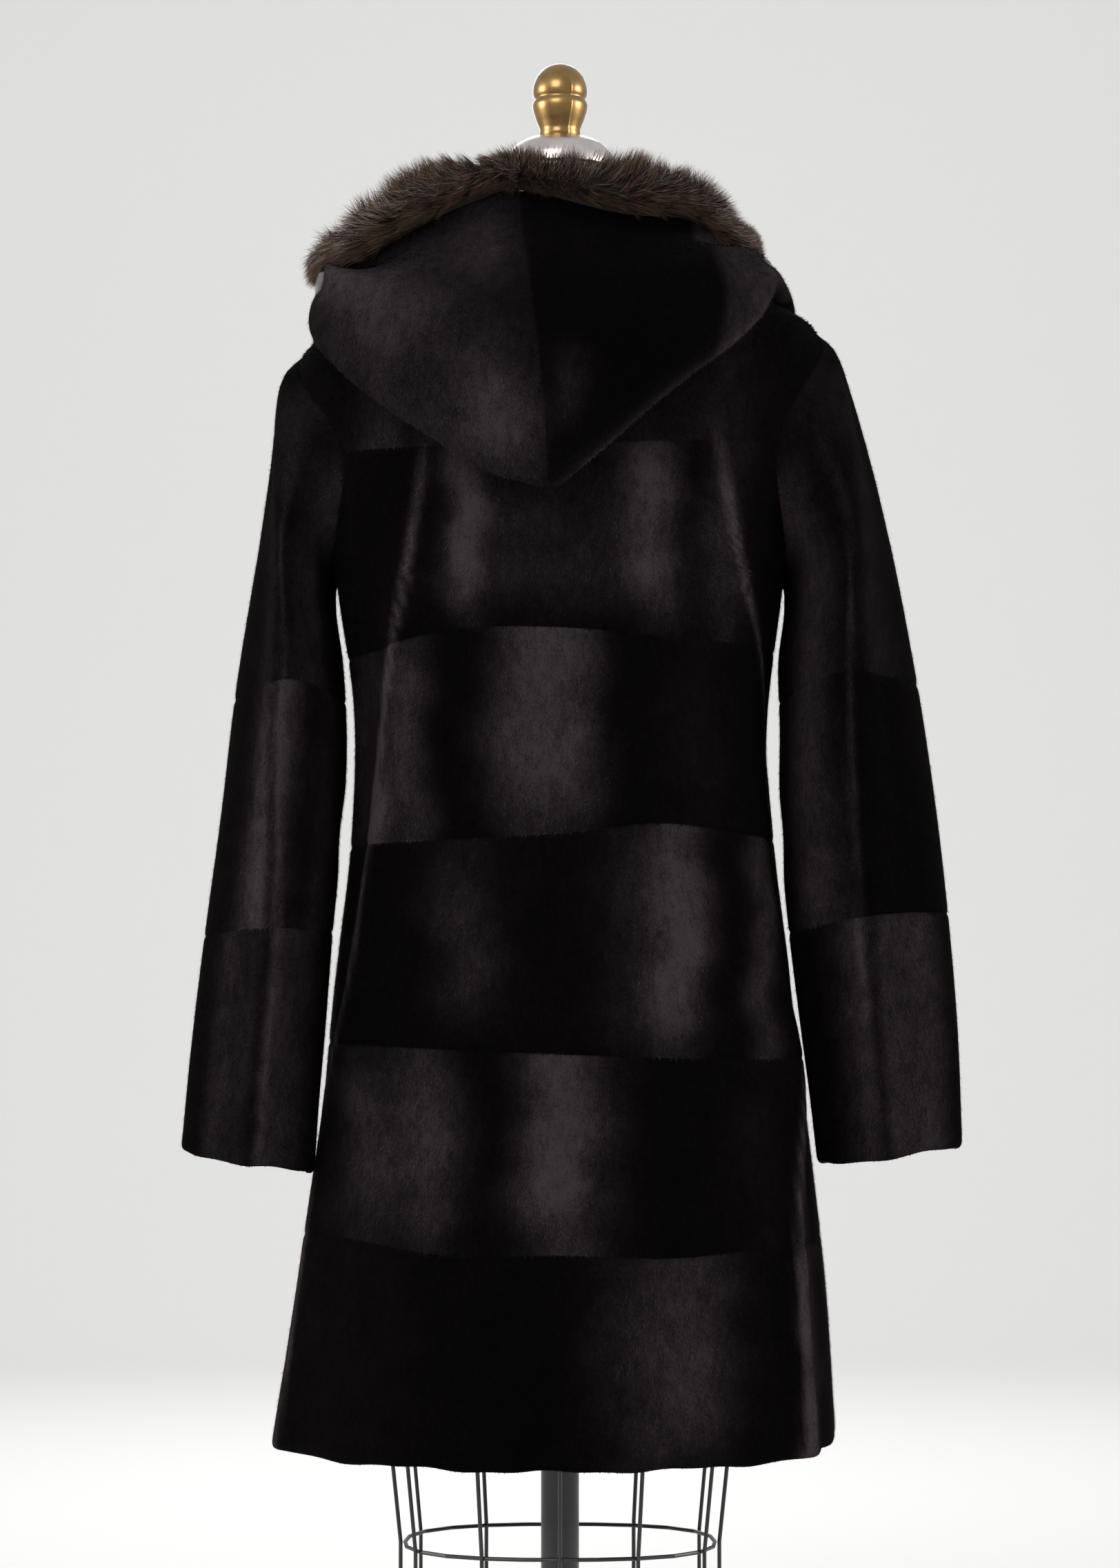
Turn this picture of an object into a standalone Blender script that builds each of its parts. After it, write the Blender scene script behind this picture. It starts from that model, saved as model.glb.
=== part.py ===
"""A hooded sheared mink coat hanging on a limbless dress form, in metres, +Z up.

The coat's back faces +Y and the wearer's left is +X. The origin is the centre of the
foot, on the floor. Every cloth piece is a wall of leather and clipped fur: an outer
skin of points worked out from the section tables below, and an inner skin set back
by the wall's thickness. Pieces that are sewn together share their edge points and
stop SEAM_GAP short of each other.
"""

import math

import bmesh
import bpy
import numpy as np

# ---------------------------------------------------------------- driving dimensions
WALL = 0.007  # leather and clipped fur together
SEAM_GAP = 0.0004  # between neighbouring solids
HEM_Z = 0.476
UNDERARM_Z = 1.150
SHOULDER_Z = 1.350
NECKLINE_Z = 1.424
SHOULDER_HALF_WIDTH = 0.197
SHOULDER_TILT = 0.009  # how far the right shoulder stands above the mean height
ARMHOLE_HALF_ANGLE = 36.0  # degrees round the body that half an armhole takes
ARMHOLE_ROUNDNESS = 0.62  # below 1 the armhole opens faster at its two ends
UNDERARM_LEAN = 0.10  # how far a seam's direction leans outward, at the underarm
ARMHOLE_LEAN = 0.50  # and from ARMHOLE_LEAN_RISE above it
ARMHOLE_LEAN_RISE = 0.12
SHOULDER_LEAN = 0.58  # along the shoulder seam
NECKLINE_LEAN = 0.45  # and round the neckline, upward here

GROOVE_DEPTH = 0.0012  # the furrow in the fur along a seam between two bands
GROOVE_HALF_WIDTH = 0.006
GROOVE_SHARPNESS = 1.6  # above 1 the furrow is narrower than the strip it is drawn in
BODY_BAND_SEAMS = (0.636, 0.785, 0.948, 1.108, 1.250)  # heights of the bands' seams
EDGE_ROUNDING = 0.0025  # how far the fur turns in at the hem and the cuffs
EDGE_ROW = 0.006  # height of the rounded strip

BACK_COLUMNS = 20
FRONT_COLUMNS = 10
ARMHOLE_STEPS = 10  # rows between underarm and shoulder, on the back and on the front
YOKE_STEPS = 4  # rows between shoulder and neckline
LONGEST_ROW = 0.085
FOLD_MIDDLE = 0.45  # share of the way from underarm to hem where a fold's middle angle holds
FOLD_GROWTH = 1.6  # above 1 a fold is at full height before the hem
HOOD_COLUMNS = 13  # in each half of the hood
HOOD_ROWS = 22
SHARP_ANGLE = 50.0  # degrees: an edge that turns more than this is shaded as a corner
NORMAL_STEP = 1e-4  # how far apart the points lie that a normal is worked out from

FORM_BASE_RADIUS = 0.200
POST_RADIUS = 0.015
POST_FOOT_Z = 0.056
TORSO_FOOT_Z = 0.760
NECK_TOP_Z = 1.4867
NECK_PLATE_HEIGHT = 0.0256
WIRE_RADIUS = 0.0016
CAGE_SQUARENESS = 2.5
CAGE_WIRE_ANGLES = (0, 27, 57, 90, 123, 153, 180, 207, 237, 270, 303, 333)

# Sections of the coat, from hem to neckline. Each is a rounded loop whose back, side and
# front lie at their own heights; the level is the height at the back.
# level, side_z, half_width, shift_x, back_y, front_y, front_z, squareness
BODY_SECTIONS = (
    (0.476, 0.476, 0.2190, 0.002, 0.188, 0.165, 0.476, 2.15),
    (0.600, 0.600, 0.2060, -0.003, 0.173, 0.155, 0.600, 2.20),
    (0.700, 0.700, 0.1935, -0.0045, 0.160, 0.148, 0.700, 2.25),
    (0.850, 0.850, 0.1783, -0.0011, 0.145, 0.138, 0.850, 2.30),
    (0.950, 0.950, 0.1675, -0.001, 0.135, 0.131, 0.950, 2.40),
    (1.050, 1.050, 0.1655, -0.001, 0.128, 0.126, 1.050, 2.60),
    (1.150, 1.150, 0.1780, 0.000, 0.125, 0.127, 1.150, 2.80),
    (1.250, 1.254, 0.1880, 0.000, 0.122, 0.122, 1.250, 3.00),
    (1.350, 1.352, SHOULDER_HALF_WIDTH, 0.000, 0.112, 0.106, 1.325, 2.80),
    (1.385, 1.377, 0.1500, 0.000, 0.097, 0.092, 1.350, 2.40),
    (1.410, 1.396, 0.1050, 0.000, 0.081, 0.081, 1.366, 2.15),
    (1.424, 1.410, 0.0780, 0.000, 0.068, 0.075, 1.374, 2.00),
)

# Long soft folds of the skirt. Angles run round the body from the centre back, plus to
# the wearer's left, at the underarm, half way down and at the hem.
# angle_top, angle_middle, angle_hem, start_level, half_width, height
BODY_FOLDS = (
    (37.0, 57.0, 76.0, 1.240, 13.0, 0.009),
    (-42.0, -62.0, -61.0, 1.260, 12.0, 0.010),
    (14.0, 9.0, 6.0, 0.900, 16.0, 0.005),
    (-16.0, -22.0, -27.0, 0.900, 15.0, 0.005),
    (112.0, 110.0, 108.0, 1.100, 13.0, 0.011),
    (-114.0, -112.0, -110.0, 1.100, 13.0, 0.011),
    (146.0, 147.0, 148.0, 1.000, 12.0, 0.009),
    (-144.0, -146.0, -147.0, 1.000, 12.0, 0.009),
)

# Sleeves: the outer line from the shoulder and the inner line from the underarm down to
# the cuff, the half depth between them, and where the long ridge of the back runs.
# along, outer_x, outer_z, inner_x, inner_z, half_depth, centre_y, ridge_angle
LEFT_SLEEVE = (
    (0.00, 0.1970, 1.343, 0.1780, 1.150, 0.080, 0.000, 66.0),
    (0.07, 0.2130, 1.318, 0.1772, 1.128, 0.078, 0.002, 68.0),
    (0.16, 0.2265, 1.262, 0.1718, 1.092, 0.076, 0.006, 70.0),
    (0.28, 0.2400, 1.180, 0.1682, 1.035, 0.072, 0.013, 73.0),
    (0.42, 0.2555, 1.078, 0.1695, 0.963, 0.065, 0.024, 80.0),
    (0.58, 0.2675, 0.965, 0.1768, 0.880, 0.057, 0.038, 92.0),
    (0.74, 0.2792, 0.867, 0.1815, 0.805, 0.049, 0.051, 96.0),
    (0.88, 0.2880, 0.782, 0.1860, 0.742, 0.042, 0.062, 96.0),
    (1.00, 0.2945, 0.706, 0.1890, 0.690, 0.037, 0.067, 96.0),
)
RIGHT_SLEEVE = (
    (0.00, 0.1970, 1.361, 0.1780, 1.150, 0.080, 0.000, 70.0),
    (0.07, 0.2145, 1.337, 0.1775, 1.128, 0.078, 0.001, 71.0),
    (0.16, 0.2390, 1.278, 0.1728, 1.092, 0.076, 0.004, 73.0),
    (0.28, 0.2610, 1.196, 0.1735, 1.035, 0.070, 0.009, 78.0),
    (0.42, 0.2812, 1.090, 0.1725, 0.963, 0.062, 0.015, 86.0),
    (0.58, 0.2965, 0.985, 0.1790, 0.880, 0.053, 0.022, 92.0),
    (0.74, 0.3070, 0.885, 0.1875, 0.805, 0.045, 0.028, 98.0),
    (0.88, 0.3135, 0.795, 0.1950, 0.745, 0.039, 0.032, 100.0),
    (1.00, 0.3162, 0.708, 0.2005, 0.694, 0.035, 0.034, 100.0),
)
SLEEVE_BAND_SEAMS = (0.34, 0.66)  # shares of the sleeve's length
# How far a ring's outer side runs ahead of its middle, which levels the bands' seams.
# share of the length, lead as a share
RING_LEADS = ((0.00, 0.000), (0.34, 0.107), (0.66, 0.071), (1.00, 0.000))
SLEEVE_GROOVE_HALF_WIDTH = 0.010  # as a share too
SLEEVE_LONGEST_ROW = 0.085
CUFF_ROW = 0.99  # where the rounding of the cuff starts
RIDGE_HEIGHT = 0.010
RIDGE_HALF_WIDTH = 24.0  # degrees round the sleeve
RIDGE_START = 0.20  # share of the sleeve over which the ridge rises
SLEEVE_BLEND = 0.22  # share of the sleeve over which the armhole's shape fades out
SLEEVE_FULLNESS = 0.014  # how far the sleeve's back and front swell out below the armhole
FULLNESS_START = 0.03  # share of the sleeve over which the swelling rises
FULLNESS_END = 0.35  # and where it has gone
FULLNESS_POWER = 1.5  # above 1 the swelling keeps away from the sleeve's two lines

# The hood, laid back. Each row is a station round the neckline, from the right front end
# to the left one: where it leaves the neckline, where its fold lies over the coat, and
# where the trimmed face edge runs.
# neck_angle, fold_angle, fold_level, thickness, puff, edge_x, edge_y, edge_z, trim_height
HOOD_TABLE = (
    (-178.0, -172.0, 1.318, 0.022, 0.000, -0.014, -0.130, 1.3560, 0.028),
    (-150.0, -142.0, 1.322, 0.022, 0.000, -0.066, -0.122, 1.3660, 0.032),
    (-125.0, -125.0, 1.352, 0.021, 0.000, -0.126, -0.082, 1.3920, 0.032),
    (-98.0, -97.0, 1.370, 0.019, 0.000, -0.150, -0.014, 1.4080, 0.028),
    (-70.0, -66.5, 1.373, 0.019, 0.001, -0.150, 0.038, 1.4060, 0.026),
    (-52.0, -47.5, 1.358, 0.024, 0.002, -0.132, 0.066, 1.4130, 0.028),
    (-35.0, -28.0, 1.316, 0.045, 0.009, -0.098, 0.093, 1.4290, 0.036),
    (-17.0, -11.5, 1.265, 0.054, 0.010, -0.045, 0.113, 1.4300, 0.042),
    (0.0, 3.5, 1.238, 0.058, 0.010, 0.020, 0.117, 1.4465, 0.029),
    (14.0, 16.5, 1.251, 0.056, 0.011, 0.062, 0.114, 1.4400, 0.034),
    (30.0, 29.0, 1.281, 0.050, 0.012, 0.100, 0.107, 1.4250, 0.040),
    (50.0, 45.5, 1.333, 0.037, 0.008, 0.148, 0.080, 1.4040, 0.038),
    (72.0, 67.0, 1.366, 0.019, 0.001, 0.184, 0.034, 1.3970, 0.032),
    (98.0, 97.0, 1.364, 0.018, 0.000, 0.183, -0.018, 1.3940, 0.030),
    (125.0, 125.0, 1.346, 0.021, 0.000, 0.138, -0.082, 1.3840, 0.033),
    (150.0, 143.0, 1.322, 0.022, 0.000, 0.068, -0.122, 1.3660, 0.032),
    (178.0, 172.0, 1.318, 0.022, 0.000, 0.014, -0.130, 1.3560, 0.028),
)
HOOD_CLEARANCE = 0.006  # between the hood's underside and the coat
FOOT_LIFT = 0.0008  # more gap at the neckline, whose two edges are faceted differently
STAND_HEIGHT = 0.0205  # of the collar-like rise at the hood's foot
STAND_UPRIGHT = 0.68  # share of that rise which is still upright
STAND_LEAN = 0.001  # how far out it stands there
STAND_ROLL = 0.0075  # how far the top of that rise leans out
UNDERSIDE_SHARES = (0.22, 0.50, 0.82)  # where the under layer is led over the coat
BELLY_RISE = 0.006  # least rounding of the upper layer
PUFF_AT_FOLD = 0.4  # share of the puff that is there where the fold starts
FOLD_ENTRY = 0.10  # how far past its two ends the fold's curve reaches, as shares of its
FOLD_EXIT = 0.05  # thickness
FOLD_LENGTH = 2.75  # of the rounded fold, as a multiple of its thickness
EDGE_STRIP = 0.010  # the upright strip of hood below the trim
EDGE_LEAN = 0.25  # how far that strip leans back over the hood
KNOT_POWER = 0.75  # below 1 the hood's curve rounds its short spans more evenly
TRIM_HALF_DEPTH = 0.0165
TRIM_LEAST_DEPTH = 0.12  # share of the depth that stays where the trim is lowest
TRIM_END_SHARE = 0.55  # the trim's size at its two ends, as a share
TRIM_TAPER = 6.0  # how soon it is full: the taper takes 1 / TRIM_TAPER of each half
TRIM_SIDES = 10

# The form's torso, from its foot to the top of its neck, in the coat's section columns.
TORSO_SECTIONS = (
    (0.7600, 0.7600, 0.1630, 0.0, 0.1130, 0.1060, 0.7600, 2.3),
    (0.8000, 0.8000, 0.1665, 0.0, 0.1180, 0.1100, 0.8000, 2.3),
    (0.8700, 0.8700, 0.1650, 0.0, 0.1210, 0.1120, 0.8700, 2.3),
    (0.9500, 0.9500, 0.1480, 0.0, 0.1080, 0.1020, 0.9500, 2.2),
    (1.0300, 1.0300, 0.1260, 0.0, 0.0920, 0.0920, 1.0300, 2.1),
    (1.1100, 1.1100, 0.1370, 0.0, 0.0980, 0.1040, 1.1100, 2.2),
    (1.1900, 1.1900, 0.1520, 0.0, 0.1060, 0.1120, 1.1900, 2.3),
    (1.2700, 1.2700, 0.1620, 0.0, 0.1050, 0.1040, 1.2600, 2.4),
    (1.3250, 1.3150, 0.1660, 0.0, 0.0970, 0.0920, 1.3000, 2.5),
    (1.3580, 1.3500, 0.1330, 0.0, 0.0840, 0.0780, 1.3260, 2.3),
    (1.3850, 1.3846, 0.0895, 0.0, 0.0690, 0.0670, 1.3500, 2.1),
    (1.4120, 1.4138, 0.0604, 0.0, 0.0550, 0.0570, 1.3860, 2.0),
    (1.4450, 1.4450, 0.0470, 0.0, 0.0460, 0.0470, 1.4300, 2.0),
    (NECK_TOP_Z, NECK_TOP_Z, 0.0410, 0.0, 0.0410, 0.0410, NECK_TOP_Z, 2.0),
)
TORSO_SIDES = 24
TORSO_ROWS = 19

# The cage's rings: height, half width and half depth.
CAGE_RINGS = {
    "cage_ring_top": (0.7581, 0.1600, 0.1110),
    "cage_ring_middle": (0.3960, 0.1220, 0.0910),
    "cage_ring_low": (0.3350, 0.1220, 0.0910),
}

# Turned profiles as radius and height above the piece's own foot, from the top down.
FINIAL_PROFILE = (
    (0.0000, 0.0600), (0.0060, 0.0594), (0.0120, 0.0568), (0.0172, 0.0518), (0.0208, 0.0445),
    (0.0219, 0.0378), (0.0214, 0.0335), (0.0205, 0.0315), (0.0211, 0.0297), (0.0222, 0.0258),
    (0.0217, 0.0225), (0.0190, 0.0140), (0.0165, 0.0078), (0.0161, 0.0060), (0.0163, 0.0040),
    (0.0155, 0.0000), (0.0000, 0.0000),
)
NECK_PLATE_PROFILE = (
    (0.0000, NECK_PLATE_HEIGHT), (0.0165, NECK_PLATE_HEIGHT), (0.0280, 0.0238),
    (0.0370, 0.0185), (0.0418, 0.0120), (0.0435, 0.0060), (0.0435, 0.0000), (0.0000, 0.0000),
)
PLATE_STEPS, FINIAL_STEPS, BASE_STEPS, POST_STEPS = 24, 20, 30, 20  # round the axis
BASE_PROFILE = (
    (0.0000, 0.0557), (0.0205, 0.0557), (0.0230, 0.0535), (0.0235, 0.0300), (0.0300, 0.0200),
    (0.0500, 0.0160), (0.1900, 0.0140), (0.1975, 0.0115), (FORM_BASE_RADIUS, 0.0070),
    (FORM_BASE_RADIUS, 0.0012), (0.1988, 0.0000), (0.0000, 0.0000),
)

# colour as red, green and blue on the linear scale, roughness, metallic
MATERIALS = {
    "sheared_mink": ((0.0110, 0.0088, 0.0082), 0.75, 0.0),
    "sable_fur": ((0.0680, 0.0440, 0.0330), 0.80, 0.0),
    "form_cloth": ((0.5200, 0.4600, 0.3800), 0.90, 0.0),
    "nickel_plate": ((0.5500, 0.5200, 0.5000), 0.30, 1.0),
    "gilt_brass": ((0.6400, 0.3900, 0.1300), 0.25, 1.0),
    "black_enamel": ((0.0080, 0.0080, 0.0080), 0.40, 0.0),
}


# ---------------------------------------------------------------- curves and sections
def through(knots, rows, at):
    """A smooth curve through the rows given at the knots, read at any places."""
    knots = np.asarray(knots, float)
    rows = np.asarray(rows, float)
    at = np.asarray(at, float)
    slopes = np.gradient(rows, knots, axis=0)
    low = np.clip(np.searchsorted(knots, at, side="right") - 1, 0, len(knots) - 2)
    wide = (Ellipsis,) + (None,) * (rows.ndim - 1)
    span = (knots[low + 1] - knots[low])[wide]
    s = (at - knots[low])[wide] / span
    return ((2 * s**3 - 3 * s**2 + 1) * rows[low]
            + (s**3 - 2 * s**2 + s) * span * slopes[low]
            + (3 * s**2 - 2 * s**3) * rows[low + 1]
            + (s**3 - s**2) * span * slopes[low + 1])


def ease(x):
    """0 below 0, 1 above 1, and a smooth step between."""
    x = np.clip(x, 0.0, 1.0)
    return x * x * (3 - 2 * x)


def unit(vectors):
    return vectors / np.maximum(np.linalg.norm(vectors, axis=-1, keepdims=True), 1e-12)


def section_surface(sections, angle, level):
    """Points on the surface through the sections: angle in radians from the centre back,
    plus towards +X, and level in the sections' first column."""
    angle, level = np.broadcast_arrays(np.asarray(angle, float), np.asarray(level, float))
    table = np.array(sections)
    columns = through(table[:, 0], table[:, 1:], level)
    side_z, width, shift, back_y, front_y, front_z, square = np.moveaxis(columns, -1, 0)
    side, depth = np.sin(angle), np.cos(angle)
    reach = (np.abs(side)**square + np.abs(depth)**square)**(-1 / square)
    behind = depth > 0
    x = shift + width * reach * side
    y = np.where(behind, back_y, front_y) * reach * depth
    z = side_z + np.where(behind, level - side_z, front_z - side_z) * depth**2
    return np.stack([x, y, z], axis=-1)


def grid_normals(points, ring=False):
    """Normals of a grid of points, along the cross product of its rows' direction and its
    columns' direction; ring says that each row closes on itself."""
    if ring:
        across = np.roll(points, -1, axis=1) - np.roll(points, 1, axis=1)
    else:
        across = np.gradient(points, axis=1)
    return unit(np.cross(np.gradient(points, axis=0), across))


def rows_with_seams(start, end, seams, half_width, longest):
    """Row places from start to end: three at each seam, and even steps between."""
    fixed = [start]
    for seam in seams:
        fixed += [seam - half_width, seam, seam + half_width]
    fixed.append(end)
    rows = [start]
    for low, high in zip(fixed, fixed[1:]):
        steps = max(1, math.ceil((high - low) / longest))
        rows += [low + (high - low) * step / steps for step in range(1, steps + 1)]
    return rows


def groove(along, seams, half_width):
    """Depth of the furrows at the seams, read at places along the piece."""
    away = (np.asarray(along)[..., None] - np.array(seams)) / half_width
    return GROOVE_DEPTH * np.exp(-(GROOVE_SHARPNESS * away)**2).sum(axis=-1)


# ---------------------------------------------------------------- the coat's body
def fold_heights(angle, level):
    """How far the skirt's folds push the surface out."""
    share = np.clip((UNDERARM_Z - level) / (UNDERARM_Z - HEM_Z), -0.2, 1.0)
    height = 0.0
    for top, middle, hem, start, half_width, rise in BODY_FOLDS:
        centre = through((0.0, FOLD_MIDDLE, 1.0), (top, middle, hem), share)
        away = (np.degrees(angle) - centre + 180.0) % 360.0 - 180.0
        strength = ease((start - level) / (start - HEM_Z) * FOLD_GROWTH)
        height = height + rise * strength * np.exp(-(away / half_width)**2)
    return height


def body_surface(angle, level):
    """The coat's body at an angle round it and a level up it."""
    angle, level = np.broadcast_arrays(np.asarray(angle, float), np.asarray(level, float))
    points = section_surface(BODY_SECTIONS, angle, level)
    tilt = -SHOULDER_TILT * np.clip(points[..., 0] / SHOULDER_HALF_WIDTH, -1.0, 1.0)
    points[..., 2] += tilt * ease((level - UNDERARM_Z) / (SHOULDER_Z - UNDERARM_Z))
    outward = unit(points * (1.0, 1.0, 0.0))
    return points + outward * fold_heights(angle, level)[..., None]


def body_normals(angle, level):
    step = NORMAL_STEP
    up = body_surface(angle, level + step) - body_surface(angle, level - step)
    round_it = body_surface(angle + step, level) - body_surface(angle - step, level)
    return unit(np.cross(up, round_it))


def armhole_half_angle(level):
    """Half the armhole's opening round the body, in radians; 0 outside its height."""
    share = np.clip((level - UNDERARM_Z) / (SHOULDER_Z - UNDERARM_Z), 0.0, 1.0)
    return math.radians(ARMHOLE_HALF_ANGLE) * np.sin(math.pi * share)**ARMHOLE_ROUNDNESS


def armhole_levels():
    """Rows from the underarm to the shoulder, closer together at both ends."""
    turn = np.linspace(0.0, math.pi, ARMHOLE_STEPS + 1)
    return UNDERARM_Z + (SHOULDER_Z - UNDERARM_Z) * (1 - np.cos(turn)) / 2


def body_levels():
    seams = [z for z in BODY_BAND_SEAMS if z < UNDERARM_Z]
    skirt = rows_with_seams(HEM_Z + EDGE_ROW, UNDERARM_Z, seams, GROOVE_HALF_WIDTH, LONGEST_ROW)
    yoke = np.linspace(SHOULDER_Z, NECKLINE_Z, YOKE_STEPS + 1)
    return np.concatenate([[HEM_Z], skirt, armhole_levels()[1:], yoke[1:]])


def side_directions(points, levels):
    """Outward directions shared by the pieces that meet along a side seam, round an armhole
    and along a shoulder seam."""
    side = np.sign(points[:, :1])
    along_x = side * np.array([[1.0, 0.0, 0.0]])
    middle = np.array([0.0, 0.0, (UNDERARM_Z + SHOULDER_Z) / 2])
    lean = UNDERARM_LEAN + (ARMHOLE_LEAN - UNDERARM_LEAN) * ease(
        (levels - UNDERARM_Z) / ARMHOLE_LEAN_RISE)[:, None]
    round_hole = unit(unit((points - middle) * (0.0, 1.0, 1.0)) + along_x * lean)
    shoulder = unit(along_x * SHOULDER_LEAN + np.array([[0.0, 0.0, 1.0]]))
    below = (levels < UNDERARM_Z - 1e-9)[:, None]
    above = (levels > SHOULDER_Z + 1e-9)[:, None]
    return np.where(below, along_x, np.where(above, shoulder, round_hole))


def neckline_directions(points):
    """Outward directions shared by the coat's neckline and the hood's foot."""
    return unit(unit(points * (1.0, 1.0, 0.0)) + np.array([0.0, 0.0, NECKLINE_LEAN]))


def body_panel(first_edge, last_edge, columns):
    """Outer and inner points of a panel between two edges, each given as a function that
    turns levels into angles. An edge at the body's side takes the shared directions."""
    levels = body_levels()
    share = np.linspace(0.0, 1.0, columns + 1)
    first, last = first_edge(levels)[:, None], last_edge(levels)[:, None]
    angles = first + (last - first) * share
    grid_levels = levels[:, None] + 0 * angles
    smooth = body_surface(angles, grid_levels)
    normals = body_normals(angles, grid_levels)
    for column in (0, -1):
        if abs(math.cos(angles[0, column])) < 0.5:
            normals[:, column] = side_directions(smooth[:, column], levels)
    normals[-1] = neckline_directions(smooth[-1])
    depth = groove(grid_levels, BODY_BAND_SEAMS, GROOVE_HALF_WIDTH)
    depth[0] += EDGE_ROUNDING
    return smooth - normals * depth[..., None], smooth - normals * WALL


def side_edge(side, toward):
    """The line of a side seam, an armhole edge and a shoulder seam; toward is -1 for the
    back's edge and 1 for the front's."""
    return lambda levels: side * (math.pi / 2 + toward * armhole_half_angle(levels))


def centre_front(side):
    return lambda levels: np.full(len(levels), side * math.pi)


# ---------------------------------------------------------------- sleeves
def armhole_loop(side):
    """The armhole's edge, from the shoulder down the back to the underarm and up the
    front, with its shared directions."""
    rising = armhole_levels()
    levels = np.concatenate([rising[::-1], rising[1:-1]])
    toward = np.where(np.arange(len(levels)) < len(rising), -1.0, 1.0)
    angles = side * (math.pi / 2 + toward * armhole_half_angle(levels))
    points = body_surface(angles, levels)
    return points, side_directions(points, levels)


def sleeve_ovals(side, table, along, turn):
    """Ovals hung between the sleeve's outer and inner lines, with the back's long ridge."""
    table = np.array(table)
    columns = through(table[:, 0], table[:, 1:], along)
    outer_x, outer_z, inner_x, inner_z, half_depth, centre_y, ridge = np.moveaxis(columns, -1, 0)
    swing = np.cos(turn)
    away = (np.degrees(turn) - ridge) / RIDGE_HALF_WIDTH
    fold = RIDGE_HEIGHT * ease(along / RIDGE_START) * np.exp(-away**2)
    x = (outer_x + inner_x) / 2 + (outer_x - inner_x) / 2 * swing
    z = (outer_z + inner_z) / 2 + (outer_z - inner_z) / 2 * swing
    y = centre_y + half_depth * np.sin(turn) + fold
    return np.stack([side * x, y, z], axis=-1)


def sleeve_rings(side, table):
    """Outer and inner points of a sleeve, as rings from the armhole to the cuff."""
    loop, directions = armhole_loop(side)
    turn = np.linspace(0.0, 2 * math.pi, len(loop), endpoint=False)
    rows = rows_with_seams(0.0, 1.0, SLEEVE_BAND_SEAMS, SLEEVE_GROOVE_HALF_WIDTH,
                           SLEEVE_LONGEST_ROW)
    rows = np.sort(rows + [FULLNESS_START, CUFF_ROW])
    rows, turns = np.meshgrid(rows, turn, indexing="ij")
    along = rows + through(*np.transpose(RING_LEADS), rows) * np.cos(turns)
    rest = loop - sleeve_ovals(side, table, 0 * turn, turn)
    fade = 1 - ease(along / SLEEVE_BLEND)
    swell = SLEEVE_FULLNESS * ease(along / FULLNESS_START) * ease(
        (FULLNESS_END - along) / (FULLNESS_END - SLEEVE_BLEND / 2))
    smooth = sleeve_ovals(side, table, along, turns) + fade[..., None] * rest
    smooth[..., 0] += side * swell * np.abs(np.sin(turns))**FULLNESS_POWER
    normals = grid_normals(smooth, ring=True) * side
    normals[0] = directions
    depth = groove(rows, SLEEVE_BAND_SEAMS, SLEEVE_GROOVE_HALF_WIDTH)
    depth[-1] += EDGE_ROUNDING
    return smooth - normals * depth[..., None], smooth - normals * WALL


# ---------------------------------------------------------------- hood
def hood_grid(columns, rows):
    """The hood's fur side: each column leaves the neckline, rolls over, runs down over the
    coat to its fold and comes back up to the face edge. The normals point to the fur."""
    table = np.array(HOOD_TABLE)
    stations = through(np.linspace(-1.0, 1.0, len(table)), table, columns)
    neck, fold, level, thick, puff, edge_x, edge_y, edge_z, _ = stations.T
    neck, fold = np.radians(neck), np.radians(fold)
    thick, puff = thick[:, None], puff[:, None]
    edge = np.stack([edge_x, edge_y, edge_z], axis=-1)
    up = np.array([0.0, 0.0, 1.0])

    def over_coat(share, lift):
        """Points above the coat, a share of the way from the neckline to the fold."""
        angle = neck + (fold - neck) * share
        height = NECKLINE_Z + (level - NECKLINE_Z) * share
        return body_surface(angle, height) + body_normals(angle, height) * lift

    foot = body_surface(neck, np.full(len(neck), NECKLINE_Z)) + up * FOOT_LIFT
    radial = unit(foot * (1.0, 1.0, 0.0))
    under_end = over_coat(1.0, HOOD_CLEARANCE)
    over_end = over_coat(1.0, HOOD_CLEARANCE + thick)
    off_coat = unit(over_end - under_end)
    onward = unit(under_end - over_coat(UNDERSIDE_SHARES[-1], HOOD_CLEARANCE))
    fold_start = 1.0 - FOLD_LENGTH * thick[:, 0]
    over_start = over_coat(fold_start, HOOD_CLEARANCE + thick + puff * PUFF_AT_FOLD)
    belly = (over_start + edge) / 2 + off_coat * (puff + BELLY_RISE)
    rise = unit(up + unit(edge - belly) * EDGE_LEAN)
    controls = np.stack([
        foot,
        foot + up * STAND_HEIGHT * STAND_UPRIGHT + radial * STAND_LEAN,
        foot + up * STAND_HEIGHT + radial * STAND_ROLL,
        over_coat(UNDERSIDE_SHARES[0], HOOD_CLEARANCE * 2),
        over_coat(UNDERSIDE_SHARES[1], HOOD_CLEARANCE),
        over_coat(UNDERSIDE_SHARES[2], HOOD_CLEARANCE),
        under_end + onward * thick * FOLD_ENTRY,
        (under_end + over_end + onward * thick) / 2,
        over_end + onward * thick * FOLD_EXIT,
        over_start,
        belly,
        edge - rise * EDGE_STRIP,
        edge,
    ])
    steps = np.linalg.norm(np.diff(controls, axis=0), axis=-1).mean(axis=1)**KNOT_POWER
    knots = np.concatenate([[0.0], np.cumsum(steps)]) / steps.sum()
    points = through(knots, controls, rows)
    normals = grid_normals(points)
    normals[0] = neckline_directions(points[0])
    return points, normals


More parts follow.
